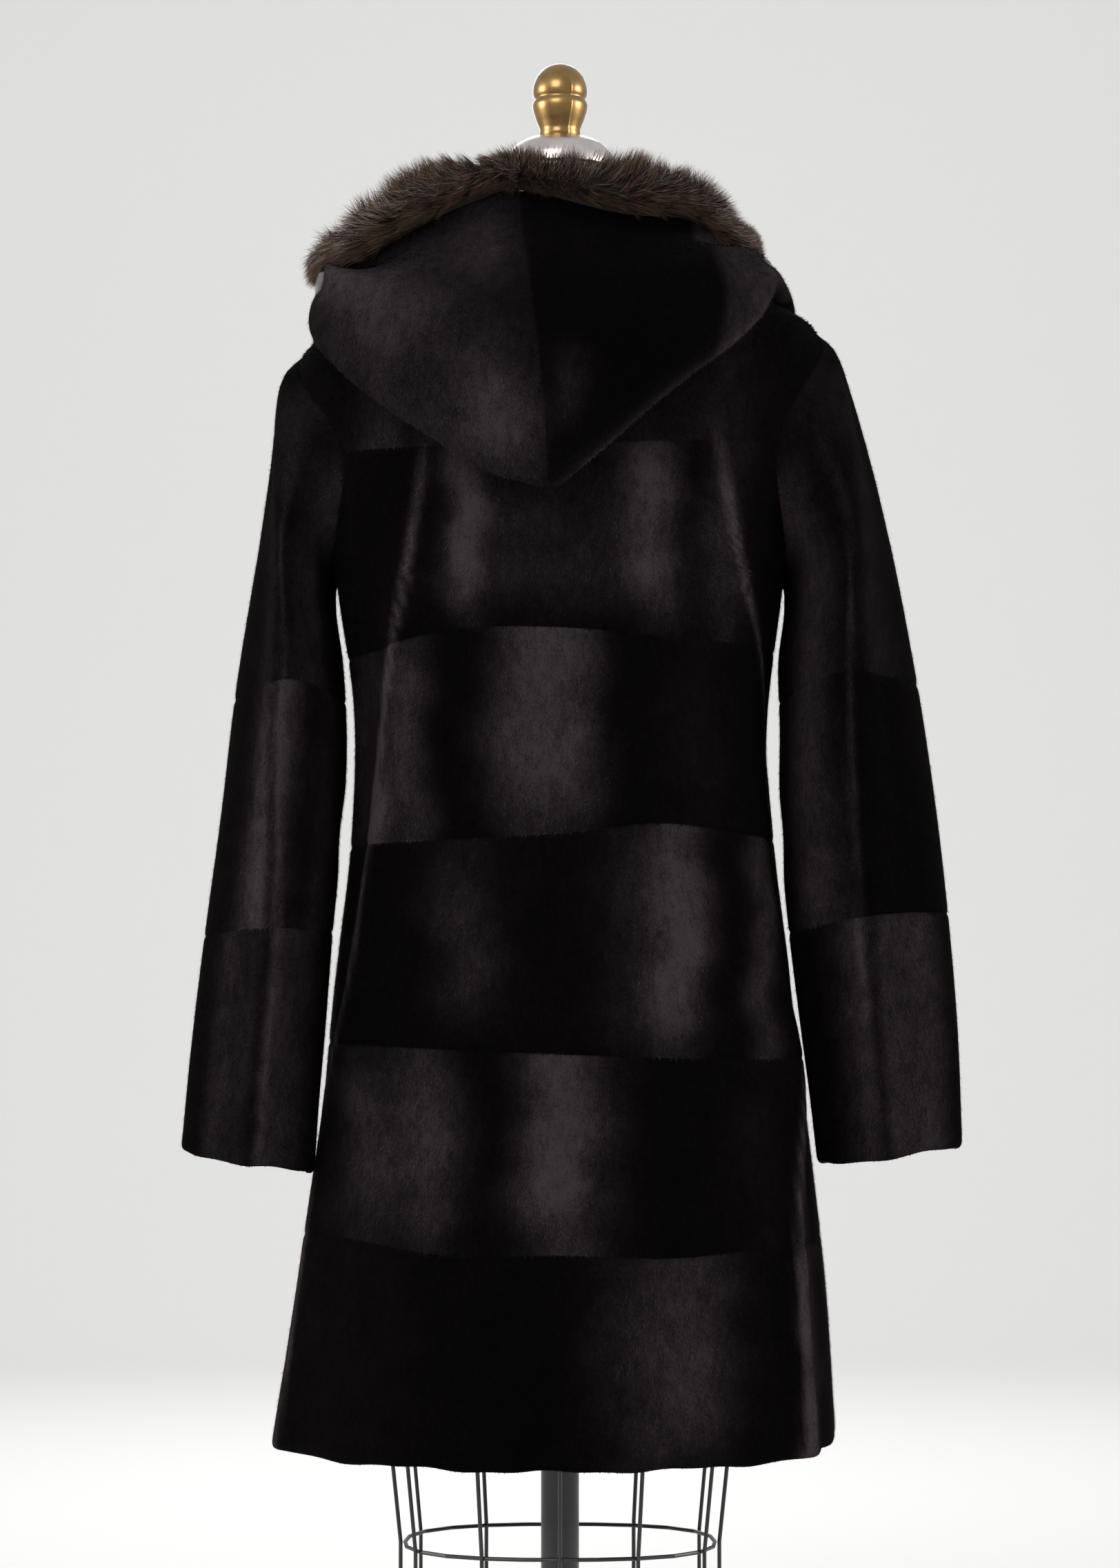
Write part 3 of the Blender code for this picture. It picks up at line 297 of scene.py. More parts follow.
# ---------------------------------------------------------------- painted sheen: light and dark
# Painted sheen: each pelt of the sheared fur is painted lighter in a stripe down its middle.
# face is 1 for the back and -1 for the front; band 0 is the one at the hem.
# face, band, x, slant, half_width, strength, low_fade, high_fade
BODY_NAP_SHEEN = (
    (1, 5, 0.080, 0.00, 0.060, 0.35, 0.2, 0.0),
    (1, 5, 0.135, 0.00, 0.018, 0.45, 0.2, 0.0),
    (1, 5, -0.130, 0.00, 0.030, 0.28, 0.1, 0.0),
    (1, 5, -0.060, 0.00, 0.040, 0.30, 0.0, 0.0),
    (1, 4, 0.072, 0.02, 0.013, 0.95, 0.8, 0.1),
    (1, 4, 0.040, 0.00, 0.050, 0.30, 0.8, 0.0),
    (1, 4, -0.070, 0.06, 0.020, 0.85, 0.8, 0.1),
    (1, 4, -0.030, 0.00, 0.050, 0.26, 0.8, 0.0),
    (1, 4, -0.128, -0.05, 0.018, 0.45, 0.5, 0.1),
    (1, 3, 0.022, -0.02, 0.030, 0.90, 0.55, 0.1),
    (1, 3, -0.014, 0.00, 0.022, 0.50, 0.5, 0.1),
    (1, 3, 0.152, 0.02, 0.014, 1.60, 0.2, 0.1),
    (1, 3, 0.118, 0.06, 0.018, 0.55, 0.2, 0.3),
    (1, 3, -0.100, 0.00, 0.030, 0.12, 0.2, 0.2),
    (1, 2, -0.090, -0.04, 0.020, 1.00, 0.6, 0.3),
    (1, 2, -0.066, 0.00, 0.036, 0.30, 0.6, 0.2),
    (1, 2, -0.158, 0.00, 0.012, 0.55, 0.2, 0.1),
    (1, 2, 0.074, 0.02, 0.026, 0.34, 0.9, 0.4),
    (1, 2, 0.020, 0.00, 0.040, 0.06, 0.5, 0.1),
    (1, 1, 0.100, 0.03, 0.026, 0.62, 0.6, 0.3),
    (1, 1, 0.150, 0.05, 0.024, 0.50, 0.5, 0.5),
    (1, 1, 0.002, -0.01, 0.026, 0.95, 0.6, 0.3),
    (1, 1, -0.014, 0.00, 0.040, 0.25, 0.3, 0.2),
    (1, 1, -0.150, 0.00, 0.030, 0.08, 0.3, 0.3),
    (1, 0, -0.100, -0.04, 0.034, 0.52, 0.7, 0.2),
    (1, 0, -0.060, 0.00, 0.040, 0.30, 0.4, 0.2),
    (1, 0, -0.194, 0.00, 0.008, 0.80, 0.1, 0.1),
    (1, 0, 0.150, 0.00, 0.060, 0.06, 0.3, 0.3),
    (-1, 5, 0.060, 0.00, 0.030, 0.55, 0.3, 0.1),
    (-1, 5, -0.070, 0.00, 0.030, 0.40, 0.3, 0.1),
    (-1, 4, 0.110, 0.02, 0.024, 0.85, 0.4, 0.1),
    (-1, 4, -0.060, 0.02, 0.030, 0.80, 0.4, 0.1),
    (-1, 3, 0.050, 0.02, 0.028, 0.85, 0.3, 0.1),
    (-1, 3, -0.120, 0.00, 0.024, 0.80, 0.3, 0.1),
    (-1, 2, 0.120, 0.02, 0.030, 0.75, 0.3, 0.2),
    (-1, 2, -0.056, 0.00, 0.028, 0.95, 0.3, 0.1),
    (-1, 1, 0.052, 0.00, 0.030, 0.85, 0.3, 0.2),
    (-1, 1, -0.136, 0.02, 0.030, 0.65, 0.3, 0.2),
    (-1, 0, 0.132, 0.02, 0.034, 0.60, 0.3, 0.2),
    (-1, 0, -0.064, 0.00, 0.036, 0.70, 0.3, 0.2),
)
SHEEN_WANDER = 0.0035  # how far a painted sheen stripe's middle wanders
BAND_HEIGHT = 0.15  # a slant of 1 moves a stripe this far over its band
# Painted sheen stripes of the sleeves: side (1 left, -1 right), band from the shoulder, turn in
# degrees, half_width, strength
SLEEVE_NAP_SHEEN = (
    (1, 0, 118.0, 26.0, 0.55), (1, 0, 66.0, 16.0, 0.30), (1, 0, 270.0, 40.0, 0.45),
    (1, 1, 82.0, 20.0, 1.00), (1, 1, 140.0, 24.0, 0.34), (1, 1, 300.0, 34.0, 0.60),
    (1, 2, 112.0, 34.0, 0.55), (1, 2, 60.0, 14.0, 0.34), (1, 2, 240.0, 36.0, 0.50),
    (-1, 0, 122.0, 24.0, 0.60), (-1, 0, 60.0, 22.0, 0.22), (-1, 0, 280.0, 40.0, 0.50),
    (-1, 1, 128.0, 22.0, 0.62), (-1, 1, 250.0, 36.0, 0.55),
    (-1, 2, 98.0, 26.0, 0.62), (-1, 2, 56.0, 20.0, 0.50), (-1, 2, 290.0, 34.0, 0.55),
)
# Painted sheen patches of the hood, over its columns and rows: column, row, half_columns,
# half_rows, strength
HOOD_NAP_SHEEN = (
    (0.30, 0.80, 0.13, 0.10, 0.55), (0.36, 0.84, 0.06, 0.05, 0.45),
    (0.09, 0.70, 0.07, 0.07, 0.75), (0.12, 0.92, 0.10, 0.06, 0.40),
    (0.44, 0.74, 0.08, 0.10, 0.28), (0.20, 0.62, 0.14, 0.06, 0.32),
    (-0.10, 0.58, 0.09, 0.03, 0.80), (-0.24, 0.60, 0.12, 0.03, 0.45),
    (-0.36, 0.90, 0.07, 0.08, 0.30), (-0.05, 0.74, 0.03, 0.04, 0.34),
    (-0.40, 0.68, 0.06, 0.06, 0.30), (-0.28, 0.92, 0.02, 0.03, 0.40),
    (0.70, 0.80, 0.10, 0.15, 0.55), (-0.75, 0.80, 0.10, 0.15, 0.60),
    (0.0, 0.30, 0.60, 0.20, 0.20),
)

# Whole skins of the hood painted lighter as painted sheen: first column, last column, strength
HOOD_SHEEN_PANELS = ((-0.004, 0.36, 0.16), (-0.62, -0.265, 0.42), (0.36, 1.05, 0.10))

# How the mink's colour is made up from its painted sheen and its noises
COMBING = (1.0, 1.0, 0.45)  # the noises are drawn out down the coat
CLOUD_LEAST = 0.55
CLOUD_SWING = 0.9
HAZE = 0.10  # the lightness that the clouds add where there is no painted sheen
TUFT_SHARE = 1.3
GRAIN_BASE = 0.25
TONE_LEAST = 0.40  # each hair's own brightness starts here
TONE_SWING = 2.0
# the painted sheen, with its noises, is raised to this power for contrast
SHEEN_CONTRAST = 1.5

# ---------------------------------------------------------------- the form
TORSO_FOOT_Z = 0.760
NECK_TOP_Z = 1.4867
TORSO_SECTIONS = (
    (0.7600, 0.7600, 0.1630, 0.0, 0.1130, 0.1060, 0.7600, 2.3),
    (0.8000, 0.8000, 0.1665, 0.0, 0.1180, 0.1100, 0.8000, 2.3),
    (0.8700, 0.8700, 0.1650, 0.0, 0.1210, 0.1120, 0.8700, 2.3),
    (0.9500, 0.9500, 0.1480, 0.0, 0.1080, 0.1020, 0.9500, 2.2),
    (1.0300, 1.0300, 0.1260, 0.0, 0.0920, 0.0920, 1.0300, 2.1),
    (1.1100, 1.1100, 0.1370, 0.0, 0.0980, 0.1040, 1.1100, 2.2),
    (1.1900, 1.1900, 0.1520, 0.0, 0.1060, 0.1120, 1.1900, 2.3),
    (1.2700, 1.2700, 0.1620, 0.0, 0.1050, 0.1040, 1.2600, 2.4),
    (1.3250, 1.3150, 0.1660, 0.0, 0.0970, 0.0920, 1.3000, 2.5),
    (1.3580, 1.3500, 0.1330, 0.0, 0.0840, 0.0780, 1.3260, 2.3),
    (1.3850, 1.3846, 0.0895, 0.0, 0.0690, 0.0670, 1.3500, 2.1),
    (1.4120, 1.4138, 0.0604, 0.0, 0.0550, 0.0570, 1.3860, 2.0),
    (1.4450, 1.4450, 0.0470, 0.0, 0.0460, 0.0470, 1.4300, 2.0),
    (NECK_TOP_Z, NECK_TOP_Z, 0.0410, 0.0, 0.0410, 0.0410, NECK_TOP_Z, 2.0),
)
TORSO_SEAM_ANGLES = (0.0, 42.0, 90.0, 138.0, 180.0, 222.0, 270.0, 318.0)
TORSO_SEAM_DEPTH = 0.0007
TORSO_SEAM_HALF_WIDTH = 0.0022
TORSO_GRID = (76, 144)  # rows and sides
TORSO_CORNER = 50  # an edge that turns by more degrees than this is sharp
TURNED_CORNER = 42

# Turned profiles as radius and height above the piece's own foot, from the foot up.
PLATE_FOOT_Z = NECK_TOP_Z + 0.0004
PLATE_PROFILE = (
    (0.0000, 0.0000), (0.0425, 0.0000), (0.0435, 0.0010), (0.0435, 0.0060), (0.0418, 0.0120),
    (0.0370, 0.0185), (0.0280, 0.0238), (0.0175, 0.0256), (0.0000, 0.0256),
)
FINIAL_FOOT_Z = PLATE_FOOT_Z + 0.0260
FINIAL_PROFILE = (
    (0.0000, 0.0000), (0.0155, 0.0000), (0.0163, 0.0012), (0.0164, 0.0040), (0.0161, 0.0060),
    (0.0165, 0.0078), (0.0190, 0.0140), (0.0212, 0.0205), (0.0219, 0.0235), (0.0222, 0.0258),
    (0.0219, 0.0280), (0.0211, 0.0297), (0.0204, 0.0308), (0.0203, 0.0318), (0.0208, 0.0328),
    (0.0216, 0.0345), (0.0219, 0.0378), (0.0216, 0.0415), (0.0208, 0.0445), (0.0194, 0.0483),
    (0.0172, 0.0518), (0.0148, 0.0546), (0.0120, 0.0568), (0.0090, 0.0584), (0.0060, 0.0594),
    (0.0030, 0.0599), (0.0000, 0.0600),
)
PARTING_TURN = -24.0  # degrees from the back, where the mould's two halves met
PARTING_HEIGHT = 0.00035
POST_RADIUS = 0.015
POST_FOOT_Z = 0.056
POST_TOP_Z = 0.7596
BASE_PROFILE = (
    (0.0000, 0.0000), (0.1980, 0.0000), (0.1994, 0.0006), (0.2000, 0.0020), (0.2000, 0.0070),
    (0.1992, 0.0100), (0.1975, 0.0115), (0.1940, 0.0131), (0.1900, 0.0140), (0.1000, 0.0150),
    (0.0500, 0.0160), (0.0380, 0.0175), (0.0300, 0.0205), (0.0255, 0.0250), (0.0235, 0.0300),
    (0.0230, 0.0400), (0.0230, 0.0535), (0.0222, 0.0551), (0.0205, 0.0557), (0.0000, 0.0557),
)
CAGE_NODES = [f"cage_ring_{place}" for place in ("top", "middle", "low")]
CAGE_NODES += [f"cage_wire_{number:02d}" for number in range(1, 13)]

# ---------------------------------------------------------------- stage
STAGE_FLAT = 5.0  # a round floor that curves up into a wall, so that no edge shows
STAGE_COVE = 3.0
STAGE_HEIGHT = 4.5

# ---------------------------------------------------------------- camera, from the photograph
CAMERA_PLACE = (0.0, 2.945, 0.85)
CAMERA_TILT = 92.8
CAMERA_LENS = 85.0
CAMERA_SENSOR = 36.0


# ---------------------------------------------------------------- curves and sections
def through(knots, rows, at):
    """A smooth curve through rows given at knots: cubic Hermite pieces whose slopes are the
    knots' central differences."""
    knots = np.asarray(knots, float)
    rows = np.asarray(rows, float)
    at = np.asarray(at, float)
    slopes = np.gradient(rows, knots, axis=0)
    low = np.clip(np.searchsorted(knots, at, side="right") - 1, 0, len(knots) - 2)
    wide = (Ellipsis,) + (None,) * (rows.ndim - 1)
    span = (knots[low + 1] - knots[low])[wide]
    s = (at - knots[low])[wide] / span
    return ((2 * s**3 - 3 * s**2 + 1) * rows[low]
            + (s**3 - 2 * s**2 + s) * span * slopes[low]
            + (3 * s**2 - 2 * s**3) * rows[low + 1]
            + (s**3 - s**2) * span * slopes[low + 1])


def ease(x):
    """0 below 0, 1 above 1, and three x squared minus two x cubed between."""
    x = np.clip(x, 0.0, 1.0)
    return x * x * (3 - 2 * x)


def unit(vectors):
    """Each vector over its length."""
    return vectors / np.maximum(np.linalg.norm(vectors, axis=-1, keepdims=True), 1e-12)


def outward_of(points):
    """The level direction from the upright axis to each point."""
    return unit(points * (1.0, 1.0, 0.0))


def bell(x):
    """The bell curve exp(-x squared)."""
    return np.exp(-x * x)


def turned_away(degrees, middle):
    """Degrees from a middle direction, between -180 and 180."""
    return (degrees - middle + 180.0) % 360.0 - 180.0


def creases(strokes, degrees, place, slant, height):
    """Height with troughs and ridges added, each a slanted stroke: a bell across it times a
    bell along it."""
    for turn, slope, middle, half_length, half_width, rise in strokes:
        away = turned_away(degrees - turn, slant * slope * (place - middle))
        height = height + rise * bell(away / half_width) * bell((place - middle) / half_length)
    return height


def section_surface(sections, angle, level):
    """A loop at each level: a superellipse whose radius is (|sin|^n + |cos|^n)^(-1/n), with
    its own depth behind and in front, and its side lifted to its own height."""
    angle, level = np.broadcast_arrays(np.asarray(angle, float), np.asarray(level, float))
    table = np.array(sections)
    columns = through(table[:, 0], table[:, 1:], level)
    side_z, width, shift, back_y, front_y, front_z, square = np.moveaxis(columns, -1, 0)
    side, depth = np.sin(angle), np.cos(angle)
    reach = (np.abs(side)**square + np.abs(depth)**square)**(-1 / square)
    behind = depth > 0
    x = shift + width * reach * side
    y = np.where(behind, back_y, front_y) * reach * depth
    z = side_z + np.where(behind, level - side_z, front_z - side_z) * depth**2
    return np.stack([x, y, z], axis=-1)


def grid_normals(points, ring=False):
    """The cross product of the rows' direction and the columns' direction."""
    if ring:
        across = np.roll(points, -1, axis=1) - np.roll(points, 1, axis=1)
    else:
        across = np.gradient(points, axis=1)
    return unit(np.cross(np.gradient(points, axis=0), across))


# ---------------------------------------------------------------- the coat's body
def pleat_path(side, level):
    """Degrees from the middle of the back to the ridge of one side's long fold."""
    return through(PLEAT_LEVELS, PLEAT_PATHS[side],
                   np.clip(level, PLEAT_LEVELS[0], PLEAT_LEVELS[-1]))


def fold_heights(angle, level):
    """The sum of the folds' and creases' bells: a fold's centre runs down through three
    angles, and a crease is a slanted stroke with a bell along it and across it."""
    share = np.clip((UNDERARM_Z - level) / (UNDERARM_Z - HEM_Z), -0.2, 1.0)
    degrees = np.degrees(angle)
    height = 0.0
    for top, middle, hem, start, half_width, rise in BODY_FOLDS:
        centre = through((0.0, FOLD_MIDDLE, 1.0), (top, middle, hem), share)
        away = turned_away(degrees, centre)
        strength = ease((start - level) / (start - HEM_Z) * FOLD_GROWTH)
        height = height + rise * strength * bell(away / half_width)
    growth = ease((PLEAT_START - level) / (PLEAT_START - HEM_Z) * FOLD_GROWTH)
    for side, beyond, half_width, rise in BODY_PLEATS:
        centre = pleat_path(side, level) + beyond
        near_seam = ease((PLEAT_LIMIT - centre) / PLEAT_FADE) if beyond else 1.0
        away = turned_away(side * degrees, centre)
        height = height + rise * growth * near_seam * bell(away / half_width)
    return creases(BODY_CREASES, degrees, level, -1, height)


def body_surface(angle, level):
    """The section surface, tilted at the shoulders and pushed out by the folds."""
    angle, level = np.broadcast_arrays(np.asarray(angle, float), np.asarray(level, float))
    points = section_surface(BODY_SECTIONS, angle, level)
    tilt = -SHOULDER_TILT * np.clip(points[..., 0] / SHOULDER_HALF_WIDTH, -1.0, 1.0)
    points[..., 2] += tilt * ease((level - UNDERARM_Z) / (SHOULDER_Z - UNDERARM_Z))
    return points + outward_of(points) * fold_heights(angle, level)[..., None]


def body_normals(angle, level):
    """The cross product of small steps up and round the body."""
    step = 1e-4
    up = body_surface(angle, level + step) - body_surface(angle, level - step)
    round_it = body_surface(angle + step, level) - body_surface(angle - step, level)
    return unit(np.cross(up, round_it))


def armhole_half_angle(level):
    """A power of half a sine wave between the underarm and the shoulder."""
    share = np.clip((level - UNDERARM_Z) / (SHOULDER_Z - UNDERARM_Z), 0.0, 1.0)
    return math.radians(ARMHOLE_HALF_ANGLE) * np.sin(math.pi * share)**ARMHOLE_ROUNDNESS


def rows_with_seams(rows, seams, offsets):
    """The rows with those near a seam taken out, and closer ones put in beside it."""
    seams = np.array([seam for seam in seams if rows[0] < seam < rows[-1]])
    away = np.abs(rows[:, None] - seams).min(axis=1)
    kept = rows[(away > offsets[-1] * 1.3) | (rows == rows[0]) | (rows == rows[-1])]
    return np.sort(np.concatenate([kept, np.add.outer(seams, offsets).ravel()]))


def seam_levels():
    """The mean height of each seam between two bands."""
    return [seam[0] for seam in BAND_SEAMS]


def armhole_levels(steps):
    """Heights spaced as a cosine, closer together at the underarm and the shoulder."""
    turn = np.linspace(0.0, math.pi, steps + 1)
    levels = UNDERARM_Z + (SHOULDER_Z - UNDERARM_Z) * (1 - np.cos(turn)) / 2
    return rows_with_seams(levels, seam_levels(), SEAM_OFFSETS)


def body_levels(skirt_rows, armhole_steps, yoke_steps):
    """Even rows with finer ones at the rounded hem and beside the seams."""
    hem = HEM_Z + EDGE_ROW * np.array([0.0, 0.08, 0.25, 0.55, 1.0])
    skirt = rows_with_seams(np.linspace(HEM_Z + EDGE_ROW, UNDERARM_Z, skirt_rows),
                            seam_levels(), SEAM_OFFSETS)
    yoke = np.linspace(SHOULDER_Z, NECKLINE_Z, yoke_steps + 1)
    return np.concatenate([hem, skirt[1:], armhole_levels(armhole_steps)[1:], yoke[1:]])


def seam_lift(x, level):
    """How far a row is lifted so that it follows the wavy seams: each seam's smooth wave
    through five places, fading out at the seams beside it, and two sines at the hem."""
    places = np.array(SEAM_PLACES)[::-1]
    at = np.clip(x, places[0], places[-1])
    heights = [HEM_Z] + seam_levels()
    lift = EDGE_RIPPLE * (np.sin(61 * x + 1) + 0.5 * np.sin(143 * x)) * ease(
        1 - (level - HEM_Z) / 0.03)
    for number, (own, *wave) in enumerate(BAND_SEAMS[:-1], start=1):
        below, above = heights[number - 1], min(heights[number + 1], UNDERARM_Z)
        share = np.where(level < own, (level - below) / (own - below),
                         (above - level) / (above - own))
        lift = lift + through(places, wave[::-1], at) * ease(share)
    return lift


def seam_furrows(places, seams, half_width):
    """Depth of the furrow that the clipped fur leaves along each seam: a narrow bell."""
    return sum(FURROW_DEPTH * bell(1.6 * (places - seam) / half_width) for seam in seams)


def body_nap_sheen(points, level):
    """Painted sheen: light stripes painted on the pelts, a bell across each one, its middle
    wandering by two sines, fading at the band's two ends."""
    x, y, z = np.moveaxis(points, -1, 0)
    x = x + SHEEN_WANDER * (np.sin(53 * z + 9 * x) + 0.6 * np.sin(127 * z - 31 * x + 2))
    heights = [HEM_Z] + seam_levels() + [NECKLINE_Z]
    light = np.zeros(x.shape)
    for face, band, middle, slant, half_width, strength, low, high in BODY_NAP_SHEEN:
        share = (level - heights[band]) / (heights[band + 1] - heights[band])
        inside = (share >= 0) & ((share < 1) | (band == len(BAND_SEAMS)))
        across = bell((x - middle - slant * (share - 0.5) * BAND_HEIGHT) / half_width)
        ends = (1 - low * (1 - ease(share * 3))) * (1 - high * ease(share * 3 - 2))
        light += strength * across * ends * inside * (y * face > 0)
    return np.clip(light, 0.0, 1.2)


def pleat_shade(angle, level):
    """Painted shade and painted highlight: how much of the painted sheen stays, all of it on the
    back between its two pleats and little beyond them; then the painted highlight added on each
    pleat's ridge."""
    degrees = np.degrees(angle)
    growth = ease((PLEAT_START - level) / PLEAT_GROWTH)
    shade, rim = 1.0, 0.0
    for side in (1, -1):
        away = side * degrees - pleat_path(side, level)
        beyond = ease((away - SHADE_START) / SHADE_WIDTH) * (np.abs(degrees) < BACK_HALF)
        shade = shade * (1 - PLEAT_SHADE * beyond * growth)
        rim = rim + PLEAT_RIM * growth * bell((away + RIM_INSIDE) / RIM_HALF_WIDTH)
    return shade, rim


def side_directions(points, levels):
    """Outward directions shared by the pieces along a side seam, armhole and shoulder."""
    side = np.sign(points[:, :1])
    along_x = side * np.array([[1.0, 0.0, 0.0]])
    middle = np.array([0.0, 0.0, (UNDERARM_Z + SHOULDER_Z) / 2])
    lean = UNDERARM_LEAN + (ARMHOLE_LEAN - UNDERARM_LEAN) * ease(
        (levels - UNDERARM_Z) / ARMHOLE_LEAN_RISE)[:, None]
    round_hole = unit(unit((points - middle) * (0.0, 1.0, 1.0)) + along_x * lean)
    shoulder = unit(along_x * SHOULDER_LEAN + np.array([[0.0, 0.0, 1.0]]))
    below = (levels < UNDERARM_Z - 1e-9)[:, None]
    above = (levels > SHOULDER_Z + 1e-9)[:, None]
    return np.where(below, along_x, np.where(above, shoulder, round_hole))


def neckline_directions(points):
    """Outward directions along the neckline, lifted by its lean."""
    return unit(outward_of(points) + np.array([0.0, 0.0, NECKLINE_LEAN]))


def edge_turn(share):
    """How far an edge's fur has turned in: a quarter circle over the edge row."""
    return EDGE_ROUNDING * (1 - np.sqrt(np.clip(1 - (1 - np.clip(share, 0, 1))**2, 0, 1)))


def body_pelt(first_edge, last_edge, columns, levels):
    """A panel between two edges that turn levels into angles: its points pushed in by the furrows
    and the rounded hem, with its normals and its painted sheen."""
    share = np.linspace(0.0, 1.0, columns + 1)
    first, last = first_edge(levels)[:, None], last_edge(levels)[:, None]
    angles = first + (last - first) * share
    flat_levels = levels[:, None] + 0 * angles
    across = section_surface(BODY_SECTIONS, angles, flat_levels)[..., 0]
    grid_levels = flat_levels + seam_lift(across, flat_levels)
    smooth = body_surface(angles, grid_levels)
    normals = body_normals(angles, grid_levels)
    for column in (0, -1):
        if abs(math.cos(angles[0, column])) < 0.5:
            normals[:, column] = side_directions(smooth[:, column], levels)
    normals[-1] = neckline_directions(smooth[-1])
    depth = seam_furrows(flat_levels, seam_levels(), FURROW_HALF_WIDTH)
    depth += edge_turn((flat_levels - HEM_Z) / EDGE_ROW)
    # painted shade beyond each long pleat and a painted highlight on its ridge, over the painted
    # sheen
    shade, rim = pleat_shade(angles, grid_levels)
    nap_sheen = body_nap_sheen(smooth, flat_levels) * shade + rim
    trimmed = np.clip((flat_levels - HEM_Z) / EDGE_FADE, SHORTEST, 1.0)
    return {"smooth": smooth, "normals": normals, "depth": depth, "nap_sheen": nap_sheen,
            "length": trimmed}


def side_edge(side, toward):
    return lambda levels: side * (math.pi / 2 + toward * armhole_half_angle(levels))


def centre_front(side):
    return lambda levels: np.full(len(levels), side * math.pi)


# ---------------------------------------------------------------- sleeves
def armhole_loop(side, steps):
    """The armhole's edge, down the back from the shoulder and up the front, with how far
    each point is turned round the sleeve: the arc cosine of its height's share."""
    rising = armhole_levels(steps)
    levels = np.concatenate([rising[::-1], rising[1:-1]])
    toward = np.where(np.arange(len(levels)) < len(rising), -1.0, 1.0)
    angles = side * (math.pi / 2 + toward * armhole_half_angle(levels))
    points = body_surface(angles, levels)
    share = (levels - UNDERARM_Z) / (SHOULDER_Z - UNDERARM_Z)
    turn = np.arccos(np.clip(2 * share - 1, -1.0, 1.0))
    turn = np.where(toward < 0, turn, 2 * math.pi - turn)
    return points, side_directions(points, levels), turn


def sleeve_ovals(side, table, along, turn):
    """Ovals hung between an outer and an inner line, with a long ridge down the back."""
    table = np.array(table)
    columns = through(table[:, 0], table[:, 1:], along)
    outer_x, outer_z, inner_x, inner_z, half_depth, centre_y, ridge = np.moveaxis(columns, -1, 0)
    swing = np.cos(turn)
    away = (np.degrees(turn) - ridge) / RIDGE_HALF_WIDTH
    fold = RIDGE_HEIGHT * ease(along / RIDGE_START) * bell(away)
    x = (outer_x + inner_x) / 2 + (outer_x - inner_x) / 2 * swing
    z = (outer_z + inner_z) / 2 + (outer_z - inner_z) / 2 * swing
    y = centre_y + half_depth * np.sin(turn) + fold
    return np.stack([side * x, y, z], axis=-1)


def sleeve_pelt(side, table, armhole_steps, rows):
    """The ovals, joined to the armhole's loop by a fading difference, with small creases.
    A ring's outer side runs ahead of its middle by a cosine, so that the seams lie level."""
    loop, directions, turn = armhole_loop(side, armhole_steps)
    cuff = 1 - (1 - CUFF_ROW) * np.array([0.55, 0.25, 0.08, 0.0])
    sleeve = rows_with_seams(np.linspace(FULLNESS_START, CUFF_ROW, rows), SLEEVE_SEAMS,
                             SEAM_OFFSETS / SLEEVE_LENGTH)
    places = np.concatenate([np.linspace(0.0, FULLNESS_START, 5)[:-1], sleeve, cuff])
    places, turns = np.meshgrid(places, turn, indexing="ij")
    along = places + through(*np.transpose(RING_LEADS), places) * np.cos(turns)
    rest = loop - sleeve_ovals(side, table, 0 * turn, turn)
    fade = 1 - ease(along / SLEEVE_BLEND)
    swell = SLEEVE_FULLNESS * ease(along / FULLNESS_START) * ease(
        (FULLNESS_END - along) / (FULLNESS_END - SLEEVE_BLEND / 2))
    smooth = sleeve_ovals(side, table, along, turns) + fade[..., None] * rest
    smooth[..., 0] += side * swell * np.abs(np.sin(turns))**FULLNESS_POWER
    ripple = np.sin(3 * turns + side) + 0.6 * np.sin(7 * turns)
    smooth[..., 2] += EDGE_RIPPLE * ripple * ease(1 - (1 - places) / 0.05)
    normals = grid_normals(smooth, ring=True) * side
    height = creases(SLEEVE_CREASES, np.degrees(turns), along, 1, 0.0)
    height = height * ease(along / 0.08) * ease((1 - along) / 0.05)
    smooth = smooth + normals * height[..., None]
    normals = grid_normals(smooth, ring=True) * side
    normals[0] = directions
    depth = seam_furrows(places, SLEEVE_SEAMS, FURROW_HALF_WIDTH / SLEEVE_LENGTH)
    depth = depth + edge_turn((1 - places) / (1 - CUFF_ROW))
    # Painted sheen: stripes painted lighter round each band of the sleeve
    band = np.searchsorted(SLEEVE_SEAMS, places)
    nap_sheen = np.zeros(along.shape)
    for where, number, middle, half_width, strength in SLEEVE_NAP_SHEEN:
        if where == side:
            away = turned_away(np.degrees(turns), middle)
            nap_sheen += strength * bell(away / half_width) * (band == number)
    # Painted shade just before each ridge's crest, and a painted highlight on the crest
    ridge = through(np.array(table)[:, 0], np.array(table)[:, -1], np.clip(along, 0.0, 1.0))
    away = np.degrees(turns) - ridge - RIDGE_CREST
    growth = ease(along / RIDGE_START)
    shadow = RIDGE_SHADE * growth * bell((away + 9.0) / 7.0)
    nap_sheen = nap_sheen * (1 - shadow) + RIDGE_RIM * growth * bell(away / 3.5)
    trimmed = np.clip((1 - places) * SLEEVE_LENGTH / EDGE_FADE, SHORTEST, 1.0)
    return {"smooth": smooth, "normals": normals, "depth": depth, "nap_sheen": nap_sheen,
            "length": trimmed}


